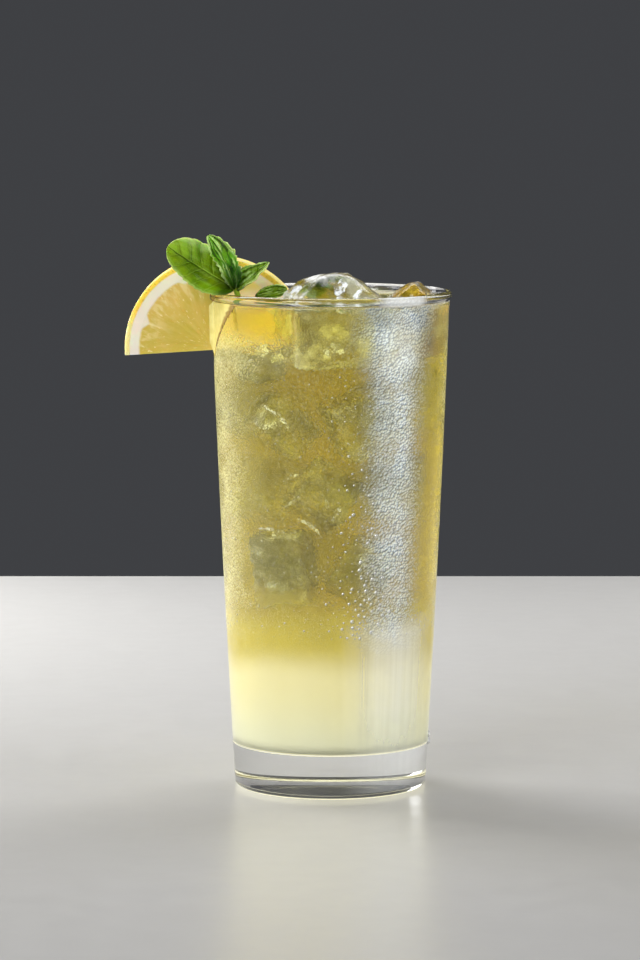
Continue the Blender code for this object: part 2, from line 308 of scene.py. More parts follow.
# Glass. A tall pressed tumbler of clear glass: thin wall, rolled bead at the brim, thick clear foot with
# faint mould rings underneath. Cold has misted the outside of the wall, down to where the pale layer stands.
GLASS_HEIGHT = 160.0 * MM
FOOT_RADIUS = 30.8 * MM
BRIM_RADIUS = 38.25 * MM
WALL_BOW = 0.38 * MM
WALL = 2.0 * MM
GLASS_FLOOR = 14.0 * MM
FOOT_ROUND = 2.0 * MM
FLOOR_ROUND = 4.0 * MM
BEAD_RADIUS = 1.35 * MM
BEAD_OVERHANG = 0.75 * MM
BEAD_TUCK = math.radians(-62.0)
BEAD_HEIGHT = GLASS_HEIGHT - BEAD_RADIUS
MOULD_RING = 3.1 * MM
MOULD_REACH = 17.0 * MM
MOULD_DEPTH = 0.22 * MM
GLASS_TURNS = 240
CORNER_STEPS, INNER_STEPS, BEAD_STEPS, OUTER_STEPS, FOOT_STEPS, MOULD_STEPS = 10, 50, 20, 60, 8, 90
GLASS_LOOK = {"Base Color": (0.985, 0.99, 0.985), "Transmission Weight": 1.0, "IOR": 1.5}
# The lemon's juice has wetted the wall beside it: from here up, and round to a line that slopes to the front
WET_LOW = 143.0 * MM
WET_TURN = math.radians(-165.0)
WET_SLOPE = math.radians(23.0) / (14.0 * MM)
# The mist lies on the faces that are further out than this share of the wall. It is a layer of drops, and
# each drop is painted lighter on its upper left and darker on its lower right, as painted light and shade.
OUTER_SHARE = 0.8
DROPS_PER_METRE = 1250.0
CLOTS_PER_METRE = 760.0
DROP_LIT_FROM = (-0.60, -0.20, 0.77)
PAINTED_DROP_SHADE_AND_LIGHT = (0.68, 0.62, 0.22), (1.0, 0.95, 0.50)
PAINTED_SILVER_SHADE_AND_LIGHT = (0.14, 0.23, 0.40), (0.90, 0.99, 1.0)
PAINTED_GLARE_WHITE = (0.90, 0.93, 0.93)
# Spans of height over which things come or go on the wall
MIST_FOOT = 50.0 * MM, 72.0 * MM
MIST_THINS = 147.0 * MM, 155.0 * MM
MIST_MELTS = 156.6 * MM, 157.4 * MM
MIST_TOP = 159.9 * MM
SILVER_LEANS = 130.0 * MM, 155.0 * MM
SHADE_FOOT = 143.0 * MM, 147.0 * MM
GLOW_FOOT, GLOW_HEAD = (134.0 * MM, 141.0 * MM), (148.0 * MM, 152.0 * MM)
BY_SLICE_FOOT, BY_SLICE_HEAD = (136.0 * MM, 144.0 * MM), (145.0 * MM, 155.0 * MM)
STRIPE_WEAKENS, STRIPE_HEAD = (14.5 * MM, 30.0 * MM), (52.0 * MM, 60.0 * MM)
# and spans of angle round it, with the front at -pi/2 and the right at 0
SILVER_LEFT, SILVER_RIGHT = (-1.34, -0.98), (-0.82, -0.42)
GLARE_LEFT, GLARE_RIGHT = (-1.24, -1.04), (-0.78, -0.62)
STRIPE_LEFT, STRIPE_RIGHT = (-1.56, -0.95), (-0.85, -0.25)
SHADE_RIGHT = -1.15, -0.92
BY_SLICE_RIGHT = -2.0, -1.7
THICK_LEFT, THICK_RIGHT = (-2.80, -2.05), (-0.50, -0.15)
THIN_ABOUT, THIN_FROM = -0.85, (0.55, 1.0)


def outer_radius(z):
    """The outside of the wall at height z: a straight taper from foot to brim, plus a shallow parabola."""
    t = z / GLASS_HEIGHT
    return FOOT_RADIUS + (BRIM_RADIUS - FOOT_RADIUS) * t + WALL_BOW * 4.0 * t * (1.0 - t)


def inner_radius(z):
    """The inside of the wall: the outside less an even thickness."""
    return outer_radius(z) - WALL


def arc(centre_r, centre_z, radius, start, end, steps):
    """Points (radius, height) on a circular arc between two angles."""
    angle = np.linspace(start, end, steps + 1)
    return np.stack([centre_r + radius * np.cos(angle), centre_z + radius * np.sin(angle)], 1)


def wall_line(radius_at, low, high, steps, offset=0.0):
    """Points (radius, height) along the wall, moved out by offset."""
    z = np.linspace(low, high, steps + 1)
    return np.stack([radius_at(z) + offset, z], 1)


def bead_line(grow, steps):
    """The bead's round section, from the inside of the wall over the brim to the outside."""
    centre_r = BRIM_RADIUS + BEAD_OVERHANG - BEAD_RADIUS
    return arc(centre_r, BEAD_HEIGHT, BEAD_RADIUS + grow, math.pi, BEAD_TUCK, steps)


def floor_corner(grow, steps):
    """The rounded corner between the wall and the glass's inner floor, from the wall down to the floor."""
    centre_z = GLASS_FLOOR + FLOOR_ROUND
    return arc(inner_radius(centre_z) - FLOOR_ROUND, centre_z, FLOOR_ROUND + grow, 0.0, -math.pi / 2, steps)


def turned(name, profile, turns, *finishes, loop=False):
    """A solid of revolution: each profile point (radius, height) carried round the Z axis in even turns."""
    profile = np.concatenate([profile, profile[:1]]) if loop else np.asarray(profile)
    angle = np.linspace(0.0, 2.0 * math.pi, turns, endpoint=False)
    radius, height = profile[:, :1], profile[:, 1:]
    points = np.stack([radius * np.cos(angle), radius * np.sin(angle), height + 0.0 * angle], -1)
    return welded(piece(name, points, grid_faces(len(profile), turns, closed=True), *finishes))


ring_r = np.linspace(FOOT_RADIUS - FOOT_ROUND, 0.0, MOULD_STEPS)[1:]
ring_fade = np.clip((MOULD_REACH - ring_r) / MOULD_REACH, 0.0, 1.0)
mould_rings = np.stack([ring_r, MOULD_DEPTH * ring_fade * np.sin(math.pi * ring_r / MOULD_RING) ** 2], 1)
glass_profile = np.concatenate([
    [(0.0, GLASS_FLOOR)],
    floor_corner(0.0, CORNER_STEPS)[::-1],
    wall_line(inner_radius, GLASS_FLOOR + FLOOR_ROUND, BEAD_HEIGHT, INNER_STEPS)[1:-1],
    bead_line(0.0, BEAD_STEPS),
    wall_line(outer_radius, FOOT_ROUND, BEAD_HEIGHT - BEAD_RADIUS, OUTER_STEPS)[-2::-1],
    arc(outer_radius(FOOT_ROUND) - FOOT_ROUND, FOOT_ROUND, FOOT_ROUND, 0.0, -math.pi / 2, FOOT_STEPS)[1:],
    mould_rings,
])

clear_glass = Finish("clear glass")
pressed = clear_glass.bump(clear_glass.noise(clear_glass.place(), 70.0, detail=1.0), 0.2 * MM, 0.35)
clear_glass.done(clear_glass.shader({**GLASS_LOOK, "Roughness": 0.0, "Normal": pressed}))

misted = Finish("misted glass")
spot = misted.place()
height = misted.part(spot, "Z")
round_wall = misted.node("Math", {0: misted.part(spot, "Y"), 1: misted.part(spot, "X")}, operation="ARCTAN2")
drift = misted.noise(spot, 120.0)
beside_lemon = (height - WET_LOW) * WET_SLOPE + WET_TURN - round_wall
wet = misted.step(beside_lemon, -0.01, 0.03)
higher = misted.step(height, *SILVER_LEANS)
silver_side = misted.step(round_wall + drift * 0.15 + higher * 0.12, *SILVER_LEFT) \
    * misted.fade(round_wall + drift * 0.15 - higher * 0.14, *SILVER_RIGHT)
wavering = height + drift * 0.006
thinned = misted.step(wavering, *MIST_THINS) * misted.step(abs(round_wall - THIN_ABOUT), *THIN_FROM)
glare_side = misted.band(round_wall, GLARE_LEFT, GLARE_RIGHT)
over_bead = misted.step(height, *MIST_MELTS)
mist = misted.step(height + drift * 0.016, *MIST_FOOT) * (1.0 - wet) \
    * (1.0 - thinned * 0.75) * (1.0 - over_bead * (1.0 - glare_side))
droplets = misted.fade(misted.cells(spot, DROPS_PER_METRE), 0.20, 0.72)
from_middle = misted.node("VectorMath", {
    0: spot, 1: misted.cells(spot, DROPS_PER_METRE, "Position")}, operation="SUBTRACT")
# Painted light and shade on each drop: lighter on the side towards DROP_LIT_FROM
lit_side = misted.node("VectorMath", {0: from_middle, 1: DROP_LIT_FROM}, "Value", operation="DOT_PRODUCT")
lit = misted.step(lit_side, -0.3 * MM, 0.3 * MM)
clotted = misted.noise(spot, CLOTS_PER_METRE, detail=2.0)
uneven_mist = misted.step(drift, 0.3, 0.7, 0.70, 1.20)
# It lies thicker round the sides, and beside the slice's lower edge
thicker = misted.fade(round_wall, *THICK_LEFT, 0.32) + misted.step(round_wall, *THICK_RIGHT, 0.0, 0.22) \
    + misted.band(wavering, BY_SLICE_FOOT, BY_SLICE_HEAD) * misted.fade(round_wall, *BY_SLICE_RIGHT, 0.20)
# Below the mist the wall is smooth, and down its right side lies a streaked, pale painted reflection of
# a tall light
# Painted reflection: pale streaks where a tall light would show on the smooth wall
stripe_streaks = misted.noise(misted.node("CombineXYZ", {"X": round_wall, "Z": height * 0.6}), 16.0, detail=2.0)
painted_stripe = misted.band(round_wall, STRIPE_LEFT, STRIPE_RIGHT) * misted.fade(height, *STRIPE_HEAD) \
    * misted.step(height, *STRIPE_WEAKENS, 0.45, 1.0)
fogged = misted.mixed(
    # Over the bead the mist stays only on its glare side, where the same pale white paints a highlight
    mist * (0.01 + droplets * 0.17 + clotted * 0.04 + thicker) * uneven_mist
    + painted_stripe * misted.step(stripe_streaks, 0.25, 0.75, 0.46, 0.58) + over_bead * mist * 0.7,
    misted.shader({
        **GLASS_LOOK, "Roughness": mist * 0.10, "Normal": misted.bump(droplets * mist, 0.15 * MM, 0.42),
    }),
    misted.shader({
        "Base Color": misted.blend(
            misted.step(painted_stripe + over_bead, 0.0, 0.10), misted.blend(lit, *PAINTED_DROP_SHADE_AND_LIGHT), PAINTED_GLARE_WHITE),
        "Roughness": 0.35,
    }),
)
# Painted shade dulls the silver under the brim, on its left, and a painted highlight brightens it below that
shaded = misted.step(height + round_wall * 0.010 + drift * 0.012, *SHADE_FOOT) \
    * misted.step(round_wall, *SHADE_RIGHT, 0.40, 0.10)
glow = glare_side * misted.step(height, *GLOW_FOOT) * misted.fade(height, *GLOW_HEAD, 0.35)
# The silvery band: a half-metallic layer of drops whose colour is painted lighter on each drop's upper left
misted.done(misted.mixed(
    mist * silver_side * (0.41 + droplets * 0.26 + higher * 0.13) * uneven_mist * (1.0 - over_bead * 0.9),
    fogged,
    misted.shader({
        "Base Color": misted.blend(lit * (1.0 - shaded) + glow, *PAINTED_SILVER_SHADE_AND_LIGHT),
        "Metallic": 0.6, "Roughness": 0.34, "Normal": misted.bump(clotted, 0.4 * MM, 0.45),
    }),
))

glass = turned("glass_tumbler", glass_profile, GLASS_TURNS, clear_glass, misted)
middles = np.empty(len(glass.data.polygons) * 3)
glass.data.polygons.foreach_get("center", middles)
middles = middles.reshape(-1, 3)
outside = np.hypot(middles[:, 0], middles[:, 1]) > inner_radius(middles[:, 2]) + OUTER_SHARE * WALL
in_mist = outside & (middles[:, 2] > FOOT_ROUND) & (middles[:, 2] < MIST_TOP)
glass.data.polygons.foreach_set("material_index", in_mist.astype(np.int32))
glass.visible_shadow = False
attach(glass, "root")
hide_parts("glass")


# Ice. Melting blocks of clear ice. Two stand out of the tea, and the rest are sunk in it: each is a box with
# its corners melted off and its faces gone wavy.
ICE_RIPPLE, RIPPLE_WAVE = 0.014, 0.9
ICE_DIMPLES, DIMPLE_WAVE = 0.014, 0.34
ICE_SHARPNESS = 24.0
SUNK_SHARPNESS = 14.0
SUNK_UNEVENNESS = 2.2
ICE_SEAT = 0.15 * MM
STANDING_STEPS = 56
SUNK_STEPS = 26
STANDING_ICE = dict(
    ice_centre=dict(
        centre=(2.2, -18.4, 153.0), size=(31.0, 20.0, 31.0), turn=(0.0, 0.0, 12.8), slopes=(
            ((-0.17, 0.0, 0.98), (-8.8, -14.0, 165.0)),
            ((-0.62, -0.20, 0.76), (-8.8, -14.0, 164.7)),
            ((0.58, 0.0, 0.82), (6.8, -17.0, 165.6)),
            ((0.10, -0.80, 0.60), (3.0, -24.0, 164.5)),
            ((-0.05, 0.62, 0.78), (3.0, -10.5, 165.5)),
            ((0.45, -0.30, -0.84), (14.0, -22.0, 141.0)),
            ((-0.60, 0.20, -0.77), (-11.0, -16.0, 142.0)),
        ),
    ),
    ice_right=dict(
        centre=(25.7, -3.0, 151.4), size=(12.2, 20.0, 23.0), turn=(0.0, 0.0, -8.0), slopes=(
            ((-0.57, -0.04, 0.82), (24.6, -3.0, 162.2)),
            ((0.66, -0.05, 0.75), (28.2, -3.0, 162.5)),
            ((0.05, -0.72, 0.69), (27.0, -9.0, 161.8)),
            ((-0.05, 0.70, 0.71), (27.0, 3.5, 161.8)),
            ((0.20, 0.40, -0.89), (28.0, 4.0, 142.5)),
        ),
    ),
)
# centre, size and turn about X, Y and Z of each sunk block
SUNK_ICE = (
    ((-20.0, -17.5, 138.3), (12.0, 9.0, 10.0), (8, -6, 28)),
    ((-14.0, -17.5, 119.0), (19.0, 11.0, 13.0), (0, 40, 16)),
    ((9.5, -20.5, 120.5), (20.0, 14.0, 19.0), (12, -24, 20)),
    ((-2.0, -21.5, 97.0), (17.0, 13.0, 16.0), (-20, 34, 5)),
    ((-13.5, -18.5, 73.0), (17.0, 13.0, 24.0), (4, -5, -26)),
    ((9.0, -18.0, 72.5), (16.0, 13.0, 18.0), (14, 26, 8)),
    ((15.5, -4.0, 98.0), (12.0, 15.0, 20.0), (10, 12, -16)),
    ((-15.5, -0.4, 97.4), (13.0, 17.0, 20.0), (-12, 16, 10)),
    ((-3.4, 15.0, 73.4), (23.0, 20.0, 22.0), (12, 8, 6)),
    ((2.5, 13.0, 98.5), (18.0, 19.0, 19.0), (20, -14, 24)),
    ((-15.0, 11.5, 121.5), (18.0, 18.0, 20.0), (-10, 22, -20)),
    ((12.5, 13.5, 125.5), (20.0, 19.0, 19.0), (16, -12, 30)),
    ((-12.0, 17.0, 145.5), (21.0, 19.0, 17.0), (6, 8, 16)),
    ((13.0, 19.0, 147.0), (18.0, 17.0, 14.0), (-8, 10, -24)),
)
# Where the mint leaf behind the centre block shows through it, the ice is painted green
MINT_LEAF_SEEN_AT = (-0.0058, -0.0245, 0.1620)
PAINTED_LEAF_GREEN = (0.16, 0.44, 0.12)
FROST_WHITE = (0.90, 0.91, 0.89)
PIT_DEPTH = 0.8 * MM
RIME_MELTS, RIME_STAYS = (136.0 * MM, 144.0 * MM), (154.0 * MM, 158.0 * MM)


def gathered(shapes):
    """Several shapes' points and faces as one shape's, with the faces counted on from shape to shape."""
    starts = np.cumsum([0] + [len(points) for points, *_ in shapes[:-1]])
    return (np.concatenate([points for points, *_ in shapes]),
            np.concatenate([faces + start for (_, faces, *_), start in zip(shapes, starts)]))


def all_round(steps):
    """Directions evenly all round: the square grid on each side of a cube, drawn out to a ball."""
    ahead = np.tan(np.linspace(-1.0, 1.0, steps + 1) * math.pi / 4.0)
    u, v = np.meshgrid(ahead, ahead, indexing="ij")
    one = np.ones_like(u)
    sides = (one, u, v), (-one, v, u), (v, one, u), (u, -one, v), (u, v, one), (v, u, -one)
    faces = grid_faces(steps + 1, steps + 1)
    points, faces = gathered([(np.stack(side, -1).reshape(-1, 3), faces) for side in sides])
    return points / np.linalg.norm(points, axis=1, keepdims=True), faces


def ripples(points, wave, seed, count=9):
    """Smooth unevenness between about -1 and 1: a sum of sine waves of one length in seeded directions."""
    draw = np.random.default_rng(seed)
    ways = draw.normal(size=(count, 3))
    ways *= 2.0 * math.pi / wave / np.linalg.norm(ways, axis=1, keepdims=True)
    return np.sin(points @ ways.T + draw.uniform(0.0, 2.0 * math.pi, count)).sum(1) / math.sqrt(count)


def turn_matrix(*degrees):
    return np.array(Euler([math.radians(d) for d in degrees]).to_matrix())


def box_planes(size, rotation, centre=(0.0, 0.0, 0.0), slopes=()):
    """The six planes of a turned box and any slopes cut off it, as seen from its centre: each is an outward
    normal and a distance."""
    sides = [(side * rotation[:, axis], size[axis] / 2.0) for axis in range(3) for side in (-1.0, 1.0)]
    for normal, point in slopes:
        outwards = np.array(normal) / np.linalg.norm(normal)
        sides.append((outwards, float((np.array(point) * MM - np.asarray(centre)) @ outwards)))
    return sides


def nearness(directions, planes, grow=0.0):
    """1 over the distance to each plane along each direction, and below 0 where the plane lies behind."""
    normals = np.array([normal for normal, _ in planes])
    distances = np.array([distance for _, distance in planes]) + grow
    return directions @ (normals / np.linalg.norm(normals, axis=1, keepdims=True)).T / distances


def melted(directions, planes, centre, sharpness, grow=0.0, seed=0, unevenness=1.0):
    """A block between planes with its edges melted: along each direction it reaches as far as the planes let
    it, taken together as a high-power mean, so that edges round off."""
    near = np.clip(nearness(directions, planes, grow), 0.0, None)
    reach = (near ** sharpness).sum(1) ** (-1.0 / sharpness)
    waves = ICE_RIPPLE * ripples(directions, RIPPLE_WAVE, seed) \
        + ICE_DIMPLES * ripples(directions, DIMPLE_WAVE, seed + 50)
    reach *= 1.0 + unevenness * waves
    return np.asarray(centre) + directions * reach[:, None]


def edginess(directions, planes):
    """How near each direction is to an edge, up to 1 on it: the second-nearest plane's nearness as a share
    of the nearest's. It is U of the block's UV map, and V is left at 0."""
    near = np.sort(nearness(directions, planes), axis=1)
    return np.stack([near[:, -2] / near[:, -1], np.zeros(len(near))], 1)


def ice_finish(name, ior, frost, dark, light, leaf_seen_at=None):
    """Clear ice with a pitted, melting face, tinted in patches between a dark and a light tint, the dark one
    painted shade for the dark seen through clear ice, and on the block wetted with tea partly its tea colour,
    and frosted white along its edges (U of the UV map) and in spots. It is painted green about leaf_seen_at,
    where the mint leaf behind it shows through. Light for the rest of the drink passes straight through it."""
    finish = Finish(name)
    spot = finish.place()
    pits = finish.noise(spot, 330.0, detail=4.0, rough=0.6)
    patches = finish.noise(spot, 105.0, rough=0.6)
    shade_patches = finish.noise(spot, 62.0, detail=2.0)
    tinted = finish.blend(finish.step(shade_patches, 0.36, 0.62), dark, light)
    # Painted image of the mint leaf behind, seen through the ice
    if leaf_seen_at:
        away = finish.node("VectorMath", {0: spot, 1: leaf_seen_at}, "Value", operation="DISTANCE")
        painted_leaf = finish.fade(away + (patches - 0.5) * 0.006, 3.2 * MM, 5.2 * MM, 0.85)
        tinted = finish.blend(painted_leaf, tinted, PAINTED_LEAF_GREEN)
    see_through = finish.mixed(
        finish.node("LightPath", out="Is Shadow Ray"),
        finish.shader({
            "Base Color": tinted, "Transmission Weight": 1.0, "Roughness": 0.0, "IOR": ior,
            "Normal": finish.bump(pits, PIT_DEPTH, 0.5),
        }),
        finish.clear((0.9, 0.92, 0.92)),
    )
    white = finish.shader({
        "Base Color": FROST_WHITE, "Roughness": 0.25, "Normal": finish.bump(pits, PIT_DEPTH, 1.0)})
    rimed = finish.step(finish.sheet("X") + (patches - 0.5) * 0.22, 0.90, 1.0) \
        * finish.step(pits, 0.40, 0.60, 0.2, 1.0) \
        * (1.0 - finish.band(finish.part(spot, "Z"), RIME_MELTS, RIME_STAYS) * 0.7)
    spots = finish.step(patches, 0.46, 0.72)
    finish.done(finish.mixed((rimed * 0.9 + spots) * frost, see_through, white))
    return finish


clear_ice = ice_finish("clear ice", 1.31, 0.75, (0.50, 0.48, 0.44), (0.97, 0.985, 0.98), MINT_LEAF_SEEN_AT)
amber_ice = ice_finish("clear ice wetted with tea", 1.31, 0.35, (0.62, 0.42, 0.20), (0.98, 0.88, 0.66))
# Ice differs from tea too little to be seen, so the sunk blocks bend light as their chilled, bubbly skin does
sunk_ice = ice_finish("clear ice under tea", 1.22, 0.22, (0.34, 0.39, 0.35), (0.86, 0.88, 0.84))

hollows = bpy.data.collections.new("hollows in the tea")
scene.collection.children.link(hollows)


def hollow(made):
    """Puts a piece among those that are cut out of the tea."""
    scene.collection.objects.unlink(made)
    hollows.objects.link(made)


directions, ball_faces = all_round(STANDING_STEPS)
for seed, (name, block) in enumerate(STANDING_ICE.items()):
    centre = np.array(block["centre"]) * MM
    planes = box_planes(np.array(block["size"]) * MM, turn_matrix(*block["turn"]), centre, block["slopes"])
    points = melted(directions, planes, centre, ICE_SHARPNESS, seed=seed)
    finish = amber_ice if name == "ice_right" else clear_ice
    lump = welded(piece(name + "_melting", points, ball_faces, finish, uv=edginess(directions, planes)))
    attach(lump, "root")
    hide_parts(name)
    seat = melted(directions, planes, centre, ICE_SHARPNESS, grow=-ICE_SEAT, seed=seed)
    hollow(welded(piece(name + "_seat", seat, ball_faces)))

directions, ball_faces = all_round(SUNK_STEPS)
blocks, seats, edges = [], [], []
for seed, (centre, size, turn) in enumerate(SUNK_ICE, start=10):
    planes = box_planes(np.array(size) * MM, turn_matrix(*turn))
    form = dict(
        centre=np.array(centre) * MM, sharpness=SUNK_SHARPNESS, seed=seed, unevenness=SUNK_UNEVENNESS)
    blocks.append((melted(directions, planes, **form), ball_faces))
    seats.append((melted(directions, planes, grow=-ICE_SEAT, **form), ball_faces))
    edges.append(edginess(directions, planes))
sunk = welded(piece("ice_sunk", *gathered(blocks), sunk_ice, uv=np.concatenate(edges)))
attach(sunk, "root")
hollow(welded(piece("ice_sunk_seats", *gathered(seats))))

# Cracks inside the ice: a wavy, shell-shaped gap in each block, which flashes white where it catches light
# and glows with painted light, bluish under the tea, bruises of crushed ice, each given by its centre and
# radius, and thin bright ridges, by centre, half length and lean. The standing blocks' gaps lie in rooms of
# their own, given by centre and size.
STANDING_ROOMS = (
    ((2.0, -19.0, 157.0), (16.0, 10.0, 7.0)),
    ((25.7, -3.0, 156.0), (5.0, 8.0, 6.0)),
)
BRUISES = (
    ((-19.6, -21.5, 142.6), 2.2), ((-14.6, -21.0, 140.0), 2.0), ((1.6, -27.0, 143.2), 2.6),
    ((-1.0, -27.0, 141.4), 1.4), ((-16.0, -23.5, 84.6), 1.2), ((-21.0, -18.0, 78.0), 1.2),
    ((12.0, -24.0, 80.0), 1.2), ((-10.8, -20.5, 160.4), 2.4), ((3.4, -24.0, 162.0), 2.6),
    ((9.0, -24.5, 160.0), 1.8),
)
BRUISE_FACING = (-0.45, -0.70, 0.55)
RIDGES = (
    ((-11.8, -26.0, 103.0), 3.4, 24.0), ((-12.6, -26.0, 94.2), 3.4, 40.0), ((-6.0, -27.5, 87.6), 4.6, -34.0),
    ((-17.6, -24.0, 86.0), 4.6, -9.0), ((-14.2, -25.6, 120.6), 7.5, -47.0), ((2.0, -29.0, 92.0), 3.0, 60.0),
)
RIDGE_FACING = (-0.10, -0.95, 0.30)
RIDGE_HALF_WIDTH = 0.42
RIDGE_BOW = 0.18
CRACK_RINGS = 6
CRACK_SECTORS = 22
CRACK_GAP = 0.12 * MM
CRACK_LOBES, CRACK_FRILLS, CRACK_CUP, CRACK_WAVE = 0.22, 0.14, 0.25, 0.06
CRACK_SEED = 29

ice_crack = Finish("crack in the ice")
spot = ice_crack.place()
veil = ice_crack.noise(spot, 420.0)
height = ice_crack.part(spot, "Z")
ice_crack.done(ice_crack.mixed(
    ice_crack.step(veil, 0.44, 0.60, 0.02, 0.85) * ice_crack.step(height, 0.095, 0.125, 0.55, 1.0),
    ice_crack.clear(),
    ice_crack.shader({
        # Emission is painted light: the cracks glow, bluish below the tea's surface and faintly grey above it
        "Base Color": (0.84, 0.87, 0.90), "Roughness": 0.2, "Emission Strength": 1.0,
        "Emission Color": ice_crack.blend(
            ice_crack.step(height, 0.155, 0.158), (0.10, 0.13, 0.34), (0.05, 0.05, 0.06)),
        "Normal": ice_crack.bump(veil, 0.6 * MM, 0.8),
    }),
))


def crack(centre, radius, draw, facing=None, slimness=1.0, bow=0.0, lean=0.0):
    """A thin closed lens: rings round its middle, out to an uneven edge, cupped by the square of the distance
    and waved, with its two faces a gap apart that closes at the edge. A ridge is a slim one, bowed by the
    square of the distance along it and turned by lean in its own plane."""
    share = np.linspace(0.0, 1.0, CRACK_RINGS + 1)[:, None]
    turn = np.linspace(0.0, 2.0 * math.pi, CRACK_SECTORS, endpoint=False)[None]
    lobes, frills = (np.sin(count * turn + draw.uniform(0, 6)) for count in (2.0, 5.0))
    edge = radius * (1.0 + CRACK_LOBES * lobes + CRACK_FRILLS * frills)
    u, v = share * edge * np.cos(turn), share * edge * np.sin(turn)
    cup = radius * (CRACK_CUP * share ** 2 + CRACK_WAVE * np.sin(3.0 * turn + 4.0 * share))
    gap = CRACK_GAP * (1.0 - share ** 4) + 0.0 * turn
    upper = np.stack([u, v, cup + gap], -1)
    lower = np.stack([u, v, cup - gap], -1)
    points = np.concatenate([upper, lower[-2::-1]]).reshape(-1, 3)
    points[:, 1] = points[:, 1] * slimness - bow * points[:, 0] ** 2 / radius
    points = points @ turn_matrix(0.0, 0.0, lean).T
    way = np.array(Euler(draw.uniform(0.0, math.pi, 3)).to_matrix())
    if facing is not None:
        way = np.array(Vector(facing).to_track_quat("Z", "Y").to_matrix())
    return points @ way.T + centre, grid_faces(2 * CRACK_RINGS + 1, CRACK_SECTORS, closed=True)


draw = np.random.default_rng(CRACK_SEED)
cracks = []
for centre, size in [block[:2] for block in SUNK_ICE] + list(STANDING_ROOMS):
    middle = (np.array(centre) + draw.uniform(-0.24, 0.24, 3) * size) * MM
    cracks.append(crack(middle, draw.uniform(0.14, 0.24) * min(size) * MM, draw))
for centre, radius in BRUISES:
    cracks.append(crack(np.array(centre) * MM, radius * MM, draw, BRUISE_FACING))
for centre, reach, lean in RIDGES:
    slimness = RIDGE_HALF_WIDTH / reach
    cracks.append(crack(np.array(centre) * MM, reach * MM, draw, RIDGE_FACING, slimness, RIDGE_BOW, lean))
flaws = welded(piece("ice_cracks", *gathered(cracks), ice_crack))
flaws.visible_shadow = False
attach(flaws, "root")


# Drink. Clear lemon tea over a pale, cloudy sweetened layer that has sunk to the bottom and mixes upwards.
# Both reach a little into the wall, as the liquid wets the glass and leaves no gap.
TEA_LEVEL = 157.0 * MM
PALE_LEVEL = 43.0 * MM
WETTING = 0.3 * MM
MENISCUS = 0.8 * MM
MENISCUS_REACH = 2.5 * MM
DRINK_TURNS = 180
PALE_STEPS, TEA_STEPS, MENISCUS_STEPS = 16, 50, 8
DRINK_IOR = 1.34
TEA_COLOUR = (0.98, 0.97, 0.90)
# The tea clears upwards over this span, less the swirl, which is half its figure on the whole
CLOUD_SPAN = 58.0 * MM, 78.0 * MM
SWIRL = 16.0 * MM
SHARP_EDGE = math.radians(40.0)


def cut(made, **tool_set):
    """Cuts another piece, or a collection of them, out of the piece."""
    tool = made.modifiers.new("cut", "BOOLEAN")
    tool.operation, tool.solver = "DIFFERENCE", "MANIFOLD"
    for name, value in tool_set.items():
        setattr(tool, name, value)
    bpy.context.view_layer.update()
    whole = made.evaluated_get(bpy.context.evaluated_depsgraph_get())
    mesh = bpy.data.meshes.new_from_object(whole)
    made.modifiers.clear()
    made.data = mesh


def smoothed(made):
    """Shades the piece smooth, apart from edges that are plainly sharp."""
    made.data.polygons.foreach_set("use_smooth", np.ones(len(made.data.polygons), bool))
    made.data.set_sharp_from_angle(angle=SHARP_EDGE)


def cloudy(finish):
    """The cloudy part of the drink: grey cream at the bottom, then cream, then yellow where it mixes
    upwards. A painted glow, given by emission, lights the corner of the glass's floor."""
    spot = finish.place()
    height = finish.part(spot, "Z")
    mixing = height + finish.noise(spot, 28.0, detail=2.0) * 0.010
    corner = finish.fade(height, 0.0140, 0.0148)
    return finish.shader({
        "Base Color": finish.coated(
            tint(228, 228, 194),
            (finish.step(mixing, 0.018, 0.044), (237, 229, 174)),
            (finish.step(mixing, 0.042, 0.055), (206, 190, 80)),
        ),
        "Roughness": 0.30, "IOR": DRINK_IOR,
        # Painted glow in the corner of the glass's floor
        "Emission Color": finish.blend(corner, (0.0, 0.0, 0.0), (0.72, 0.68, 0.48)),
        "Emission Strength": 1.0,
    })


pale_layer = Finish("cloudy sweetened layer")
pale_layer.done(cloudy(pale_layer))
pale_profile = np.concatenate([
    [(0.0, PALE_LEVEL)],
    wall_line(inner_radius, GLASS_FLOOR + FLOOR_ROUND, PALE_LEVEL, PALE_STEPS, WETTING)[::-1],
    floor_corner(WETTING, CORNER_STEPS)[1:],
    [(0.0, GLASS_FLOOR - WETTING)],
])
pale = turned("drink_pale", pale_profile, DRINK_TURNS, pale_layer)
smoothed(pale)
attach(pale, "root")
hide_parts("drink_pale_layer")

tea = Finish("lemon tea")
spot = tea.place()
cloud = tea.fade(tea.part(spot, "Z") + tea.noise(spot, 45.0) * SWIRL, *CLOUD_SPAN)
tea_clear = tea.mixed(
    tea.node("LightPath", out="Is Shadow Ray"),
    tea.shader({"Base Color": TEA_COLOUR, "Transmission Weight": 1.0, "Roughness": 0.0, "IOR": DRINK_IOR}),
    tea.clear((1.0, 0.99, 0.95)),
)
scatter = tea.node("VolumeScatter", {"Color": (0.98, 0.955, 0.50), "Density": 12.0, "Anisotropy": 0.2})
soak = tea.node("VolumeAbsorption", {"Color": (0.966, 0.910, 0.0), "Density": 108.0})
tea.done(tea.mixed(cloud, tea_clear, cloudy(tea)), tea.node("AddShader", {0: scatter, 1: soak}))
rise = np.linspace(0.0, 1.0, MENISCUS_STEPS + 1)
meniscus_r = inner_radius(TEA_LEVEL) + WETTING - MENISCUS_REACH * (1.0 - rise)
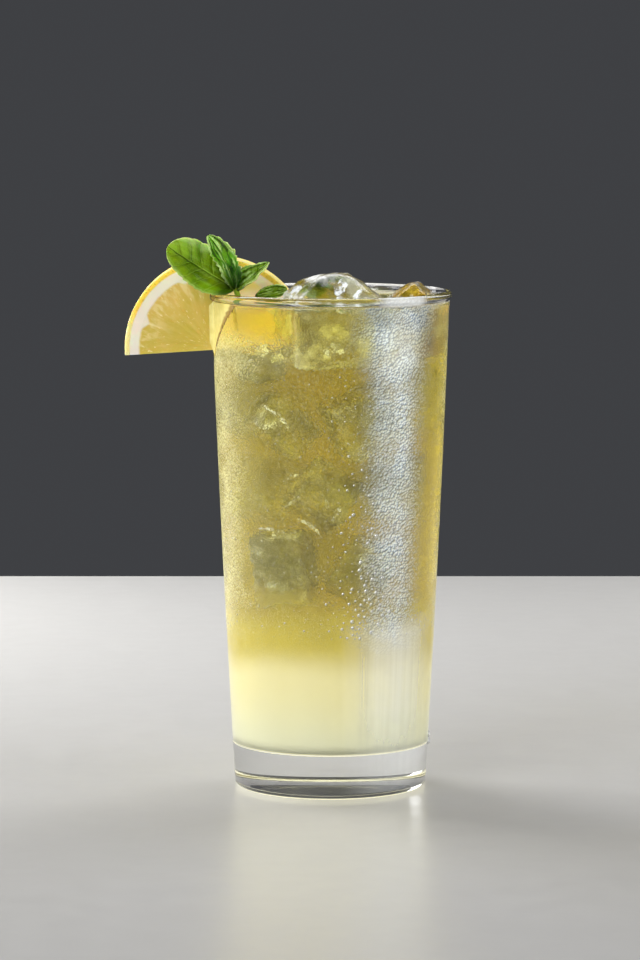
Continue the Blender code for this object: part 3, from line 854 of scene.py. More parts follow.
tea_profile = np.concatenate([
    [(0.0, TEA_LEVEL)],
    np.stack([meniscus_r, TEA_LEVEL + MENISCUS * rise ** 3], 1),
    wall_line(inner_radius, PALE_LEVEL, TEA_LEVEL, TEA_STEPS, WETTING)[::-1],
    [(0.0, PALE_LEVEL)],
])
drink = turned("drink_tea_body", tea_profile, DRINK_TURNS, tea)
cut(drink, operand_type="COLLECTION", collection=hollows)
smoothed(drink)
for seat in list(hollows.objects):
    bpy.data.objects.remove(seat, do_unlink=True)
bpy.data.collections.remove(hollows)
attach(drink, "root")
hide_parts("drink_tea")


# Lemon. Half a wheel hung on the brim by a slit: thin oily rind, white pith, and wet flesh of long juice sacs
# between membranes that meet in the middle of the cut.
WHEEL_RADIUS = 29.6 * MM
HALF_THICK = 3.0 * MM
WHEEL_CENTRE = np.array((-36.1, -4.0, 141.8)) * MM
WHEEL_TURN = (5.0, -4.0, -4.0)
WHEEL_BOW = 0.6 * MM
RIND_ROUND = 0.7 * MM
SLIT_GAP = 0.3 * MM
SLIT_DEPTH = 12.0 * MM
FLESH_SHARE = 0.835
MEMBRANES = np.radians((15.0, 46.0, 78.0, 110.0, 155.0))
FLESH_SINK = 0.20 * MM
SAC_RELIEF = 0.03 * MM
SAC_WAVE = 1.5
SAC_WAVES = 14
RELIEF_SEEDS = 3, 5
FACE_STEPS = 90
WHEEL_STEPS = 220
DEPTH_STEPS = 8
RIND_STEPS = 6
SLIT_STEPS, SLIT_BEND_STEPS = 30, 16
HAIR = 1e-9
# The flesh's noise and cells run outwards from the middle: how many there are round and along a radius
SACS_ROUND, SACS_ALONG = 9.0, 5.0


def wheel_relief(share, angle, seed):
    """How far the cut face stands out at a share of the radius: the flesh sinks a little between its
    membranes, rounds off before the pith, and is grained by the juice sacs, which run outwards from an even
    middle."""
    beside = np.abs(angle[..., None] - MEMBRANES).min(-1) * share * WHEEL_RADIUS
    flesh = np.clip((FLESH_SHARE - share) / 0.05, 0.0, 1.0) * np.clip(0.8 + beside / (6.0 * MM), 0.0, 1.0)
    along = np.stack([angle * SACS_ROUND, share * SACS_ALONG + 0.0 * angle, np.full_like(angle, seed)], -1)
    sacs = ripples(along.reshape(-1, 3), SAC_WAVE, seed, SAC_WAVES).reshape(angle.shape)
    return -FLESH_SINK * flesh + SAC_RELIEF * flesh * sacs * np.clip(share * 20.0, 0.0, 1.0)


def wheel_points(local):
    """The wheel's own points, bowed, turned and moved onto the brim."""
    local = local.copy()
    local[..., 1] += WHEEL_BOW * (local[..., 0] / WHEEL_RADIUS) ** 2
    return local @ turn_matrix(*WHEEL_TURN).T + WHEEL_CENTRE


# The section runs from the middle of the front face over the rind to the middle of the back face, and is
# carried half a turn. The flat cut below, along both ends of the turn, is filled from front to back.
face_r = np.linspace(0.0, WHEEL_RADIUS - RIND_ROUND, FACE_STEPS + 1)
corner = arc(WHEEL_RADIUS - RIND_ROUND, HALF_THICK - RIND_ROUND, RIND_ROUND, math.pi / 2, 0.0, RIND_STEPS)
rind_y = np.linspace(HALF_THICK - RIND_ROUND, RIND_ROUND - HALF_THICK, DEPTH_STEPS + 1)[1:]
section_r = np.concatenate([
    face_r, corner[1:, 0], np.full(DEPTH_STEPS, WHEEL_RADIUS), corner[-2::-1, 0], face_r[-2::-1]])
section_y = -np.concatenate([
    np.full(len(face_r), HALF_THICK), corner[1:, 1], rind_y, -corner[-2::-1, 1],
    np.full(len(face_r) - 1, -HALF_THICK)])
angle = np.linspace(0.0, math.pi, WHEEL_STEPS + 1)
share = np.repeat((section_r / WHEEL_RADIUS)[:, None], len(angle), 1)
around = np.repeat(angle[None], len(section_r), 0)
on_face = np.abs(np.abs(section_y) - HALF_THICK)[:, None] < HAIR
side = np.sign(section_y)[:, None]
relief = np.where(side < 0, *(wheel_relief(share, around, seed) for seed in RELIEF_SEEDS))
wheel = np.stack([
    section_r[:, None] * np.cos(angle),
    section_y[:, None] + side * np.where(on_face, relief, 0.0),
    section_r[:, None] * np.sin(angle),
], -1)
rim_rows = len(face_r) + len(corner) - 1
across = np.linspace(0.0, 1.0, DEPTH_STEPS + 1)[None, :, None]
shapes = [(wheel.reshape(-1, 3), grid_faces(*wheel.shape[:2]))]
for column in (0, len(angle) - 1):
    front = wheel[:rim_rows, column, None]
    back = wheel[::-1, column, None][:rim_rows]
    flat_cut = front * (1.0 - across) + back * across
    shapes.append((flat_cut.reshape(-1, 3), grid_faces(rim_rows, DEPTH_STEPS + 1)))
wheel_shape, wheel_faces = gathered(shapes)

lemon = Finish("cut lemon")
local = lemon.node("Mapping", {
    "Vector": lemon.place(), "Location": tuple(WHEEL_CENTRE),
    "Rotation": tuple(math.radians(d) for d in WHEEL_TURN),
}, vector_type="TEXTURE")
across, upward = lemon.part(local, "X"), lemon.part(local, "Z")
radius = (across * across + upward * upward) ** 0.5 / WHEEL_RADIUS
turn = lemon.node("Math", {0: upward, 1: across}, operation="ARCTAN2")
gap = abs(turn - float(MEMBRANES[0]))
for place_round in MEMBRANES[1:]:
    gap = lemon.node("Math", {0: gap, 1: abs(turn - float(place_round))}, operation="MINIMUM")
gap = gap * radius * WHEEL_RADIUS
membrane = lemon.fade(gap, 0.25 * MM, 0.75 * MM)
polar = lemon.node("CombineXYZ", {
    "X": turn * SACS_ROUND, "Y": radius * SACS_ALONG, "Z": lemon.part(local, "Y") * 150.0})
sacs = lemon.cells(polar, 1.6)
veins = lemon.cells(polar, 1.6, feature="DISTANCE_TO_EDGE")
ripe = lemon.noise(local, 70.0, detail=2.0)
last_membrane = lemon.fade(abs(turn - float(MEMBRANES[-1])), 0.004, 0.022)
paler = lemon.step(lemon.noise(polar, 1.3), 0.45, 0.65) * lemon.step(radius, 0.45, 0.80)
# The part of the slice inside the glass is given painted light: brighter flesh and a glow by emission
over_wall = lemon.step(across, 0.0, 5.0 * MM)
flesh = lemon.coated(
    tint(214, 194, 84),
    (lemon.step(ripe, 0.35, 0.65), (226, 200, 106)),
    (lemon.fade(veins, 0.0, 0.09) * 0.07, (240, 226, 150)),
    (membrane * lemon.step(radius, 0.5, 0.8) * 0.16, (240, 228, 170)),
    (last_membrane * lemon.step(radius, 0.55, 0.80) * 0.7, (248, 236, 180)),
    # painted glints on the juice sacs
    (lemon.step(lemon.noise(polar, 3.2, detail=2.0), 0.63, 0.75, 0.0, 0.85), (253, 243, 188)),
    (paler * 0.65, (242, 230, 168)),
    (over_wall, (254, 236, 126)),
)
uneven = lemon.noise(local, 420.0)
# The pith reaches in a little at each membrane, so that the segments have round corners
reach_in = lemon.fade(gap, 0.0, 4.0 * MM)
pith_edge = lemon.step(
    radius + uneven * 0.02 + reach_in * reach_in * 0.055, FLESH_SHARE, FLESH_SHARE + 0.03)
cut_face = lemon.blend(pith_edge, flesh, tint(238, 237, 226))
pores = lemon.cells(local, 1100.0)
# Low on the slice the rind is painted pale cream as a painted highlight; higher up it is golden, with more
# pores
upper_rind = lemon.step(upward + ripe * 0.012, 0.012, 0.024)
zest = lemon.coated(
    tint(238, 230, 164),
    (upper_rind, (246, 216, 76)),
    (lemon.fade(pores, 0.10, 0.45) * (0.12 + upper_rind * 0.34), (178, 132, 26)),
)
rind_edge = lemon.step(radius + uneven * 0.016, 0.944, 0.962)
# A painted highlight pales the rind's outermost edge
painted_rim_highlight = lemon.step(radius, 0.990, 0.998)
skin = lemon.blend(painted_rim_highlight * 0.5, lemon.blend(rind_edge, cut_face, zest), tint(250, 240, 176))
grain = sacs * (1.0 - pith_edge) * (1.0 - over_wall) * 0.15 + pores * rind_edge * 0.5 + uneven * 0.3
lemon.done(lemon.shader({
    "Base Color": skin,
    "Roughness": lemon.step(radius, FLESH_SHARE, FLESH_SHARE + 0.04, 0.16, 0.5),
    "Subsurface Weight": 0.45, "Subsurface Radius": (0.006, 0.004, 0.0015), "Subsurface Scale": 1.0,
    # Emission is painted light on the part inside the glass, stronger and paler low down, golden higher up
    "Emission Color": lemon.blend(
        over_wall * (1.0 - rind_edge * 0.8), (0.0, 0.0, 0.0),
        lemon.blend(lemon.step(upward, 0.016, 0.020), (0.34, 0.28, 0.26), (0.16, 0.13, 0.06))),
    "Emission Strength": 1.0,
    "Normal": lemon.bump(grain, 0.4 * MM, 0.6),
}))
slice_piece = welded(piece("lemon_half_wheel", wheel_points(wheel_shape), wheel_faces, lemon), 10 * WELD_GAP)

low = WHEEL_CENTRE[2] - SLIT_DEPTH
slit_line = np.concatenate([
    wall_line(inner_radius, low, BEAD_HEIGHT, SLIT_STEPS, -SLIT_GAP)[:-1],
    bead_line(SLIT_GAP, SLIT_BEND_STEPS),
    wall_line(outer_radius, low, BEAD_HEIGHT - BEAD_RADIUS, SLIT_STEPS, SLIT_GAP)[-2::-1],
])
slit = turned("slit", slit_line, GLASS_TURNS, loop=True)
cut(slice_piece, object=slit)
bpy.data.objects.remove(slit, do_unlink=True)
smoothed(slice_piece)
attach(slice_piece, "root")
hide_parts("lemon_slice")


# Juice. What the slit presses out of the slice clings to the outside of the wall as a thin yellow film, from
# the lemon round to the beaded line that slopes to the front.
FILM_LOW = 139.6 * MM
FILM_HIGH = 157.2 * MM
FILM_DEPTH = 0.22 * MM
FILM_FILLET = 1.5 * MM
FILM_SINK = 0.04 * MM
FILM_WAVER, FILM_WAVE, FILM_SEED = 0.012, 2.4 * MM, 8
FILM_ROWS = 60
FILM_COLUMNS = 24
FILLET_COLUMNS = 8


def film_sheet(up, over, depth):
    """The film over its height (up) and width (over). On the wall it runs from the slice to its beaded edge
    at a depth that rounds off to nothing at its rims. Beside the slice it is a curve between three points:
    the wall a fillet away from the corner, the corner itself and the slice a fillet away from it, weighted
    (1-t)^2, 2t(1-t), t^2. The film's underside, of no depth, follows the corner itself."""
    z = FILM_LOW + (FILM_HIGH - FILM_LOW) * up
    radius = outer_radius(z)
    facing = turn_matrix(*WHEEL_TURN) @ np.array((0.0, -1.0, 0.0))
    front = WHEEL_CENTRE + facing * HALF_THICK
    corner_x = -radius
    for _ in range(3):
        corner_y = front[1] - (facing[0] * (corner_x - front[0]) + facing[2] * (z - front[2])) / facing[1]
        corner_x = -np.sqrt(radius ** 2 - corner_y ** 2)
    corner = np.stack([corner_x, corner_y, z], -1)
    fillet = FILM_FILLET * np.clip(np.minimum(up * 4.0, (1.0 - up) * 12.0), 0.03, 1.0)
    start = np.arctan2(corner_y - fillet, corner_x)
    on_slice = corner - np.stack([fillet, 0.0 * z, 0.0 * z], -1)
    on_wall = np.stack([radius * np.cos(start), radius * np.sin(start), z], -1)
    edge = np.maximum(WET_TURN + WET_SLOPE * (z - WET_LOW), start + 0.02)
    wavering = ripples(z.reshape(-1, 1) @ np.ones((1, 3)), FILM_WAVE, FILM_SEED).reshape(up.shape)
    edge = edge + FILM_WAVER * wavering * up
    t = np.clip(-over, 0.0, 1.0)[..., None]
    if depth > 0.0:
        beside = (1.0 - t) ** 2 * on_wall + 2.0 * t * (1.0 - t) * corner + t ** 2 * on_slice
    else:
        beside = np.where(t < 0.5, on_wall + (corner - on_wall) * 2.0 * t,
                          corner + (on_slice - corner) * (2.0 * t - 1.0))
    angle = start + (edge - start) * np.clip(over, 0.0, 1.0)
    rounded = np.clip(np.minimum(np.minimum(up, 1.0 - up) * 20.0, (1.0 - over) * 9.0), 0.0, 1.0) ** 0.5
    out = radius - FILM_SINK + depth * rounded
    along = np.stack([out * np.cos(angle), out * np.sin(angle), z], -1)
    inwards = FILM_SINK * np.array((0.7, 0.7, 0.0)) * (1.0 if depth == 0.0 else 0.3)
    return np.where((over < 0.0)[..., None], beside + inwards, along)


def closed_sheet(front, back):
    """Two sheets of points on like grids, the back one turned over, and a strip of faces round their rims."""
    rows, columns = front.shape[:2]
    count = rows * columns
    faces = grid_faces(rows, columns)
    index = np.arange(count).reshape(rows, columns)
    rim = np.concatenate([index[0, :-1], index[:-1, -1], index[-1, :0:-1], index[:0:-1, 0]])
    after = np.roll(rim, -1)
    strip = np.stack([rim, after, after + count, rim + count], -1)
    points = np.concatenate([front.reshape(-1, 3), back.reshape(-1, 3)])
    return points, np.concatenate([faces, faces[:, ::-1] + count, strip])


over_line = np.concatenate([
    np.linspace(-1.0, 0.0, FILLET_COLUMNS + 1)[:-1], np.linspace(0.0, 1.0, FILM_COLUMNS + 1)])
up, over = np.meshgrid(np.linspace(0.0, 1.0, FILM_ROWS + 1), over_line, indexing="ij")
film_points, film_faces = closed_sheet(film_sheet(up, over, FILM_DEPTH), film_sheet(up, over, 0.0))
film_uv = np.tile(np.stack([np.clip(over, 0.0, 1.0), up], -1).reshape(-1, 2), (2, 1))

juice = Finish("lemon juice film")
streaks = juice.noise(juice.place(), 260.0, detail=2.0)
dark_edge = juice.step(juice.sheet("X") + (streaks - 0.5) * 0.3, 0.80, 0.92)
juice.done(juice.mixed(
    juice.step(streaks, 0.25, 0.75, 0.72, 0.90),
    juice.clear((1.0, 0.97, 0.80)),
    juice.shader({
        "Base Color": juice.coated(
            tint(254, 238, 138), (streaks, (255, 248, 176)), (dark_edge * 0.8, (164, 122, 50))),
        "Roughness": 0.12,
    }),
))
film = welded(piece("lemon_juice_film", film_points, film_faces, juice, uv=film_uv))
film.visible_shadow = False
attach(film, "root")


# Mint. A sprig of three leaves on a short stem leans on the lemon, and two loose leaves lie by the ice. Each
# leaf is a thin toothed blade, folded along its midrib and quilted between its side veins.
STEM_RADIUS = 0.9 * MM
STEM_SIDES = 16
STEM_STEPS = 60
STEM_PATH = np.array((
    (-26.6, -13.6, 148.0), (-27.6, -14.6, 153.0), (-28.8, -15.6, 158.0), (-30.0, -16.2, 161.5),
    (-31.2, -16.2, 164.5),
)) * MM
LEAF_THICKNESS = 0.6 * MM
LEAF_END = 0.35 * MM
LEAF_BLUNTNESS = 2.3
LEAST_NORMAL = 1e-12
LEAF_ROWS = 150
LEAF_COLUMNS = 48
LEAF_TEETH = 9
TOOTH_LEAN = 0.75
RIM_THINNESS = 0.25
VEINS = 6
VEIN_LEAN = 1.2
QUILT = 0.10
CRINKLE = 0.22 * MM
CRINKLE_WAVE = 4.2 * MM
CRINKLE_SEED = 21
SPRIG_LEAVES = (
    dict(base=(-30.3, -16.6, 161.9), tip=(-51.3, -18.6, 175.2), face=(0.20, -0.93, 0.28), half_width=7.2,
         taper=0.5, arch=1.0, sway=0.6, fold=0.36, ripple=0.12, waves=1.5, tooth=0.025),
    dict(base=(-30.2, -16.7, 161.6), tip=(-38.6, -20.8, 178.8), face=(0.42, -0.90, 0.10), half_width=3.7,
         taper=0.55, arch=1.0, sway=-0.8, fold=0.42, ripple=0.16, waves=2.3, tooth=0.09),
    dict(base=(-29.8, -16.0, 161.2), tip=(-19.4, -14.4, 169.9), face=(-0.50, -0.64, 0.58), half_width=4.1,
         taper=0.9, lead=0.55, arch=0.3, sway=-0.7, fold=0.60, ripple=0.10, waves=2.2, tooth=0.06),
)
LOOSE_LEAVES = dict(
    mint_leaf_front=dict(
        base=(-23.8, -14.4, 158.8), tip=(-13.8, -10.8, 161.2), face=(0.30, -0.93, 0.15), half_width=2.2,
        taper=0.5, arch=0.3, sway=0.3, fold=0.10, ripple=0.08, waves=1.2, tooth=0.05),
    mint_leaf_behind=dict(
        base=(-9.4, -6.6, 159.9), tip=(12.4, -1.6, 159.9), face=(0.10, 0.66, 0.74), half_width=4.2,
        taper=0.6, arch=0.8, sway=0.4, fold=0.12, ripple=0.08, waves=1.4, tooth=0.04),
)


def leaf_sheet(shape):
    """A leaf's middle surface over s from base to tip and across from edge to edge. The half width is a
    superellipse along s, pointed by taper and widest where lead puts it, with low teeth that lean to the tip.
    Each half rises from the midrib by fold, waves by ripple towards its edge, swells between the side veins,
    and is crinkled all over. Arch and sway bend the midrib."""
    base, tip = np.array(shape["base"]) * MM, np.array(shape["tip"]) * MM
    run = tip - base
    along = run / np.linalg.norm(run)
    sideways = np.cross(shape["face"], along)
    sideways /= np.linalg.norm(sideways)
    up = np.cross(along, sideways)
    s, across = np.meshgrid(
        np.linspace(0.0, 1.0, LEAF_ROWS + 1), np.linspace(-1.0, 1.0, LEAF_COLUMNS + 1), indexing="ij")
    outwards = np.abs(across)
    led = s ** shape.get("lead", 1.0)
    roundness = np.maximum(1.0 - np.abs(2.0 * led - 1.0) ** LEAF_BLUNTNESS, 0.0) ** shape["taper"]
    width = np.maximum(shape["half_width"] * MM * roundness, LEAF_END)
    saw = (s * LEAF_TEETH + 0.35 * np.sin(7.0 * s + 2.0 * np.sign(across))) % 1.0
    saw = 2.0 * np.minimum(saw / TOOTH_LEAN, (1.0 - saw) / (1.0 - TOOTH_LEAN)) - 1.0
    tooth = 1.0 + shape["tooth"] * saw * np.clip(outwards * 4.0 - 3.0, 0.0, 1.0)
    bend = 4.0 * s * (1.0 - s)
    wave = shape["ripple"] * np.sin(2.0 * math.pi * shape["waves"] * s + across) * across ** 2
    vein = (s * VEINS - VEIN_LEAN * outwards) % 1.0
    swell = QUILT * (np.sin(math.pi * vein) ** 0.7 - 0.6) \
        * np.sin(math.pi * np.clip(outwards * 1.05, 0.0, 1.0)) ** 0.6
    fold = np.sqrt(across ** 2 + 0.004) - 0.06
    flat = np.stack([s * np.linalg.norm(run), across * width, 0.0 * s], -1).reshape(-1, 3)
    crinkles = CRINKLE * ripples(flat, CRINKLE_WAVE, CRINKLE_SEED).reshape(s.shape)
    crinkles = crinkles * np.minimum(width / shape["half_width"] / MM, 1.0) * outwards ** 0.5
    lift = shape["arch"] * MM * bend + width * (shape["fold"] * fold + wave + swell) + crinkles
    shift = width * across * tooth + shape["sway"] * MM * bend
    points = base + s[..., None] * run + shift[..., None] * sideways + lift[..., None] * up
    return points, np.stack([across * 0.5 + 0.5, s], -1)


def rim_share(count):
    """How much of its thickness a leaf has in each row: all of it, but less in the two at each end."""
    return np.clip(np.minimum(np.arange(count), np.arange(count)[::-1]) / 2.0, RIM_THINNESS, 1.0)


def leaf_solid(shape):
    """The leaf's two faces, half its thickness to each side of the middle surface, joined round the edge."""
    middle, uv = leaf_sheet(shape)
    normal = np.cross(np.gradient(middle, axis=0), np.gradient(middle, axis=1))
    normal /= np.maximum(np.linalg.norm(normal, axis=-1, keepdims=True), LEAST_NORMAL)
    rows, columns = uv.shape[:2]
    offset = normal * LEAF_THICKNESS / 2.0
    offset = offset * rim_share(columns)[None, :, None] * rim_share(rows)[:, None, None]
    return *closed_sheet(middle + offset, middle - offset), np.concatenate([uv.reshape(-1, 2)] * 2)


def tube(path, radius, sides, steps):
    """A round stem: a circle carried along a smooth curve through the points, with rounded ends, which
    narrows to half its width where it starts."""
    t = np.linspace(0.0, len(path) - 1.0, steps)
    line = np.stack([np.interp(t, np.arange(len(path)), path[:, axis]) for axis in range(3)], -1)
    for _ in range(steps // 3):
        line[1:-1] = 0.25 * line[:-2] + 0.5 * line[1:-1] + 0.25 * line[2:]
    ahead = np.gradient(line, axis=0)
    ahead /= np.linalg.norm(ahead, axis=1, keepdims=True)
    right = np.cross(ahead, (0.0, 1.0, 0.0))
    right /= np.linalg.norm(right, axis=1, keepdims=True)
    up = np.cross(right, ahead)
    angle = np.linspace(0.0, 2.0 * math.pi, sides, endpoint=False)
    ends = np.sqrt(np.clip(1.0 - (np.abs(np.linspace(-1.0, 1.0, steps)) ** 12), 0.0, 1.0))
    narrow = np.clip(np.linspace(0.45, 1.35, steps), 0.0, 1.0)
    ring = radius * (ends * narrow)[:, None, None] * (
        np.cos(angle)[None, :, None] * right[:, None] + np.sin(angle)[None, :, None] * up[:, None])
    points = line[:, None] + ring
    uv = np.stack([np.full((steps, sides), 0.5), np.repeat(np.linspace(0, 1, steps)[:, None], sides, 1)], -1)
    return points.reshape(-1, 3), grid_faces(steps, sides, closed=True), uv.reshape(-1, 2)


def mint_finish(name, dark, light, tip_painted_light, streaked, streaks, foot, gloss):
    """A leaf's green: painted darker in the grooves of its veins and lighter on the quilts between them, as
    painted shade and light, pale along its midrib, with painted shade in the groove beside it, painted pale
    along its rim as a painted highlight, and painted dark near the stem as far as foot, as painted shade.
    tip_painted_light is how much painted light pales its far, upper half, streaked how much it is streaked
    along its length with painted highlights and painted shade, streaks about how many streaks there are, and
    gloss how much its wax shines."""
    finish = Finish(name)
    leaf_u, leaf_v = finish.sheet("X"), finish.sheet("Y")
    across = abs(leaf_u * 2.0 - 1.0)
    spot = finish.place()
    patch = finish.noise(spot, 150.0)
    unsteady = finish.noise(spot, 300.0, detail=1.0)
    between = finish.node("Math", {
        0: leaf_v * float(VEINS) - across * VEIN_LEAN + unsteady * 0.3}, operation="FRACT")
    groove = finish.step(abs(between - 0.5), 0.30, 0.5)
    vein = finish.step(abs(between - 0.53), 0.43, 0.47)
    net = finish.cells(spot, 1300.0, feature="DISTANCE_TO_EDGE")
    lit_tip_half = finish.step(leaf_v, 0.35, 0.85) * finish.step(leaf_u, 0.35, 0.60, 1.0, 0.25)
    far = finish.step(leaf_v, 0.40, 0.65)
    upper_edge = finish.fade(leaf_u + (patch - 0.5) * 0.3, 0.06, 0.22) * finish.step(leaf_v, 0.42, 0.58)
    rim = finish.step(across, 0.88, 0.98) * finish.step(leaf_u, 0.4, 0.6, 1.0, 0.55)
    sheen = finish.noise(
        finish.node("CombineXYZ", {"X": leaf_u * streaks, "Y": leaf_v * 1.8}), 1.0, detail=2.0)
    steeped = finish.fade(finish.part(spot, "Z"), 0.1555, 0.1585, 0.9)
    green = finish.coated(
        finish.blend(finish.step(patch, 0.3, 0.7), tint(*dark), tint(*light)),
        (finish.step(leaf_u, 0.72, 0.80) * finish.step(leaf_v, 0.25, 0.65, 0.85, 0.15), (128, 172, 8)),
        # painted light pales the far, upper half, on its quilts
        (lit_tip_half * (1.0 - groove) * tip_painted_light, (160, 192, 54)),
        # painted shade in the grooves of the veins
        (groove * 0.14, (44, 74, 0)),
        (finish.fade(net, 0.0, 0.12, 0.16), (156, 196, 44)),
        (vein * 0.35, (170, 204, 66)),
        # painted shade in the groove beside the midrib
        (finish.fade(abs(leaf_u - 0.53), 0.015, 0.035) * (far * 0.35 + 0.40), (44, 72, 0)),
        (finish.fade(across, 0.0, 0.05) * (0.85 - far * 0.55), (186, 212, 84)),
        # painted highlights along the upper edge and the rim
        (upper_edge * tip_painted_light * 0.6, (206, 226, 150)),
        (rim * 0.7, (216, 234, 150)),
        # painted highlights and painted shade in streaks along the leaf
        (finish.step(sheen, 0.52, 0.61) * streaked, (204, 234, 150)),
        (finish.fade(sheen, 0.38, 0.48) * streaked, (8, 46, 0)),
        # painted shade near the stem
        (finish.fade(leaf_v, foot * 0.3, foot, 0.80), (20, 56, 4)),
        (steeped, (250, 220, 116)),
    )
    finish.done(finish.shader({
        "Base Color": green, "Roughness": finish.step(patch, 0.3, 0.7, 0.26, 0.42),
        "Specular IOR Level": gloss, "Subsurface Weight": 0.2,
        "Subsurface Radius": (0.0012, 0.002, 0.0003), "Subsurface Scale": 1.0,
        "Normal": finish.bump(net + (1.0 - groove) * 0.8 + unsteady, 0.4 * MM, 0.6),
    }))
    return finish


olive_mint = mint_finish("mint leaf, olive green", (66, 96, 0), (128, 154, 6), 0.85, 0.08, 9.0, 0.28, 0.11)
fresh_mint = mint_finish("mint leaf, fresh green", (24, 94, 4), (90, 168, 10), 0.50, 0.80, 5.5, 0.50, 0.22)
striped_mint = mint_finish("mint leaf, striped", (56, 92, 0), (132, 168, 8), 0.30, 0.70, 9.0, 0.10, 0.16)


def joined(name, shapes, numbers, *finishes):
    """One piece from several shapes of points, faces and UVs, each with the number of its finish."""
    made = piece(name, *gathered(shapes), *finishes, uv=np.concatenate([uv for *_, uv in shapes]))
    of_face = [np.full(len(faces), number, np.int32) for (_, faces, _), number in zip(shapes, numbers)]
    made.data.polygons.foreach_set("material_index", np.concatenate(of_face))
    return welded(made)


sprig_shapes = [leaf_solid(shape) for shape in SPRIG_LEAVES]
sprig_shapes.append(tube(STEM_PATH, STEM_RADIUS, STEM_SIDES, STEM_STEPS))
sprig = joined("mint_top_sprig", sprig_shapes, (0, 1, 2, 0), olive_mint, fresh_mint, striped_mint)
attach(sprig, "root")
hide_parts("mint_sprig")
for name, shape in LOOSE_LEAVES.items():
    finish = striped_mint if name == "mint_leaf_front" else fresh_mint
    loose = joined(name + "_loose", [leaf_solid(shape)], (0,), finish)
    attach(loose, "root")
    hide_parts(name)


# Dew. Beads of water on the misted wall, each a flat dome that sits a hair's breadth in the glass. They grow
# larger lower down, where they have begun to run together.
DEW_ROWS = 50
DEW_COLUMNS = 84
DEW_LOW = 53.0 * MM
DEW_TOP = 150.0 * MM
DEW_LEAST = 0.09 * MM
DEW_MOST = 0.85 * MM
DEW_THICK_AT = -1.15
DEW_THICK_REACH = 0.50
DEW_SEED = 71
LINE_BEADS = 34
LINE_HEIGHT = 14.0 * MM
# One drop has run down to the foot, on the right: heights and sizes of its two beads, and their angle
RUN_HEIGHTS = (16.6 * MM, 14.4 * MM)
RUN_SIZES = (1.1 * MM, 1.4 * MM)
RUN_ANGLE = -0.06
# A dome of size 1: radius and height of its rings, and height of its top and of its sunk middle
DOME_SIDES = 6
DOME_R = np.array((1.0, 0.86, 0.5))
DOME_H = np.array((0.0, 0.55, 0.9))
DOME_TOP, DOME_UNDER = 1.0, -0.15
DOME_FLATNESS = 0.55
DOME_SINK = 0.04 * MM

water = Finish("water beads")
spot = water.place()
# Painted light and shade on each bead: lighter and more solid on its upper left
lit = water.step(water.sheet("Y") - water.sheet("X"), -0.25, 0.45)
juicy = water.fade(water.part(spot, "X"), -0.029, -0.026) * water.step(water.part(spot, "Z"), 0.1425, 0.1435)
water.done(water.mixed(
    lit * 0.55 + 0.25,
    water.clear(),
    water.shader({
        "Base Color": water.blend(juicy, water.blend(lit, (0.34, 0.36, 0.30), (0.97, 0.98, 1.0)),
                                  water.blend(lit, (0.28, 0.16, 0.04), (0.78, 0.58, 0.22))),
        "Metallic": 0.5, "Roughness": 0.15,
    }),
))


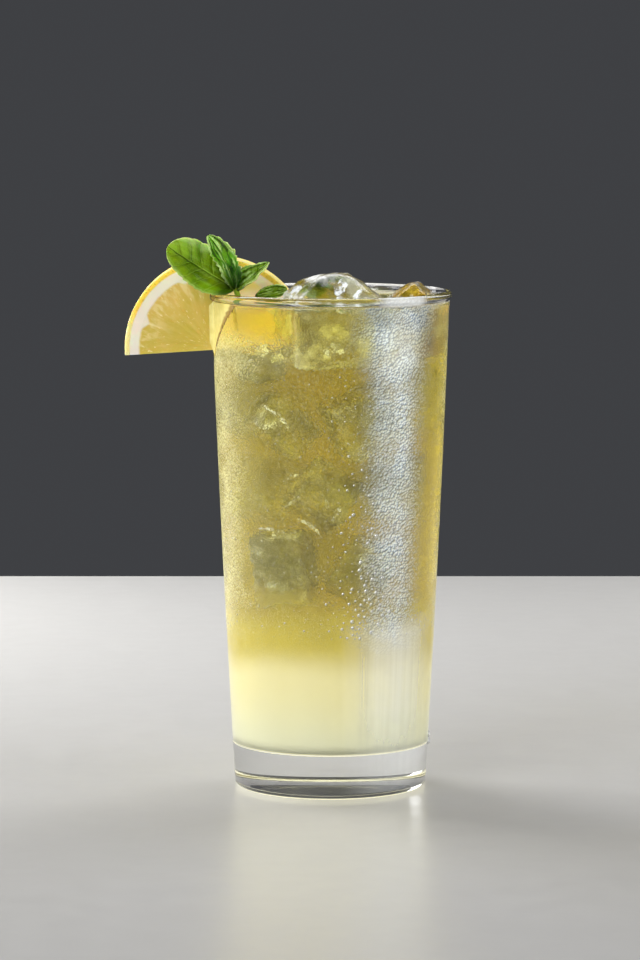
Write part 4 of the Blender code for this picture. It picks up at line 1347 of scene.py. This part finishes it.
def domes(angle, z, size):
    """A closed dome at each place on the wall: rings of points over a round foot, scaled by size. U and V run
    across each dome, so that its finish can be painted lighter on its upper left and darker below, as painted
    light and shade."""
    sides = np.arange(DOME_SIDES) * math.pi / (DOME_SIDES / 2.0)
    u = np.append(DOME_R[:, None] * np.cos(sides), (0.0, 0.0))
    v = np.append(DOME_R[:, None] * np.sin(sides), (0.0, 0.0))
    h = np.append(np.repeat(DOME_H, DOME_SIDES), (DOME_TOP, DOME_UNDER)) * DOME_FLATNESS
    turn = angle[:, None] + size[:, None] * u / outer_radius(z)[:, None]
    up = z[:, None] + size[:, None] * v
    out = outer_radius(up) - DOME_SINK + size[:, None] * h
    points = np.stack([out * np.cos(turn), out * np.sin(turn), up], -1)
    here = np.arange(DOME_SIDES)
    after = (here + 1) % DOME_SIDES
    top, under = len(u) - 2, len(u) - 1
    rings = np.concatenate([
        np.stack([here, after, after + DOME_SIDES, here + DOME_SIDES], -1) + row * DOME_SIDES
        for row in range(len(DOME_R) - 1)])
    last = here + top - DOME_SIDES
    one = np.concatenate([
        rings[:, (0, 1, 2)], rings[:, (0, 2, 3)],
        np.stack([last, after + top - DOME_SIDES, 0 * here + top], -1),
        np.stack([after, here, 0 * here + under], -1),
    ])
    faces = (one[None] + (np.arange(len(z)) * len(u))[:, None, None]).reshape(-1, 3)
    uv = np.tile(np.stack([u, v], -1) * 0.5 + 0.5, (len(z), 1))
    return points.reshape(-1, 3), faces, uv


draw = np.random.default_rng(DEW_SEED)
rows, columns = np.meshgrid(np.arange(DEW_ROWS), np.arange(DEW_COLUMNS), indexing="ij")
z = DEW_LOW + (DEW_TOP - DEW_LOW) * (rows + draw.uniform(-0.45, 0.45, rows.shape)) / DEW_ROWS
angle = 2.0 * math.pi * (columns + 0.5 * (rows % 2) + draw.uniform(-0.4, 0.4, rows.shape)) / DEW_COLUMNS
lower = 1.0 - (z - DEW_LOW) / (DEW_TOP - DEW_LOW)
off_band = np.abs((angle - DEW_THICK_AT + math.pi) % (2.0 * math.pi) - math.pi)
beside_band = np.clip(1.0 - off_band / DEW_THICK_REACH, 0.0, 1.0)
size = MM * (0.10 + (0.05 + 0.52 * beside_band) * lower) * draw.lognormal(0.0, 0.45, rows.shape)
# A row of larger beads hangs along the edge of the wetted patch beside the lemon
share = (np.arange(LINE_BEADS) + draw.uniform(-0.3, 0.3, LINE_BEADS)) / LINE_BEADS
line_z = WET_LOW + LINE_HEIGHT * share
line_angle = WET_TURN + WET_SLOPE * (line_z - WET_LOW) + draw.uniform(-0.01, 0.01, LINE_BEADS)
line_size = MM * draw.uniform(0.28, 0.55, LINE_BEADS)
dew_points, dew_faces, dew_uv = domes(
    np.concatenate([angle.ravel(), line_angle, (RUN_ANGLE, RUN_ANGLE)]),
    np.concatenate([z.ravel(), line_z, RUN_HEIGHTS]),
    np.concatenate([np.clip(size, DEW_LEAST, DEW_MOST).ravel(), line_size, RUN_SIZES]),
)
dew = piece("dew_beads", dew_points, dew_faces, water, uv=dew_uv)
dew.visible_shadow = False
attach(dew, "root")
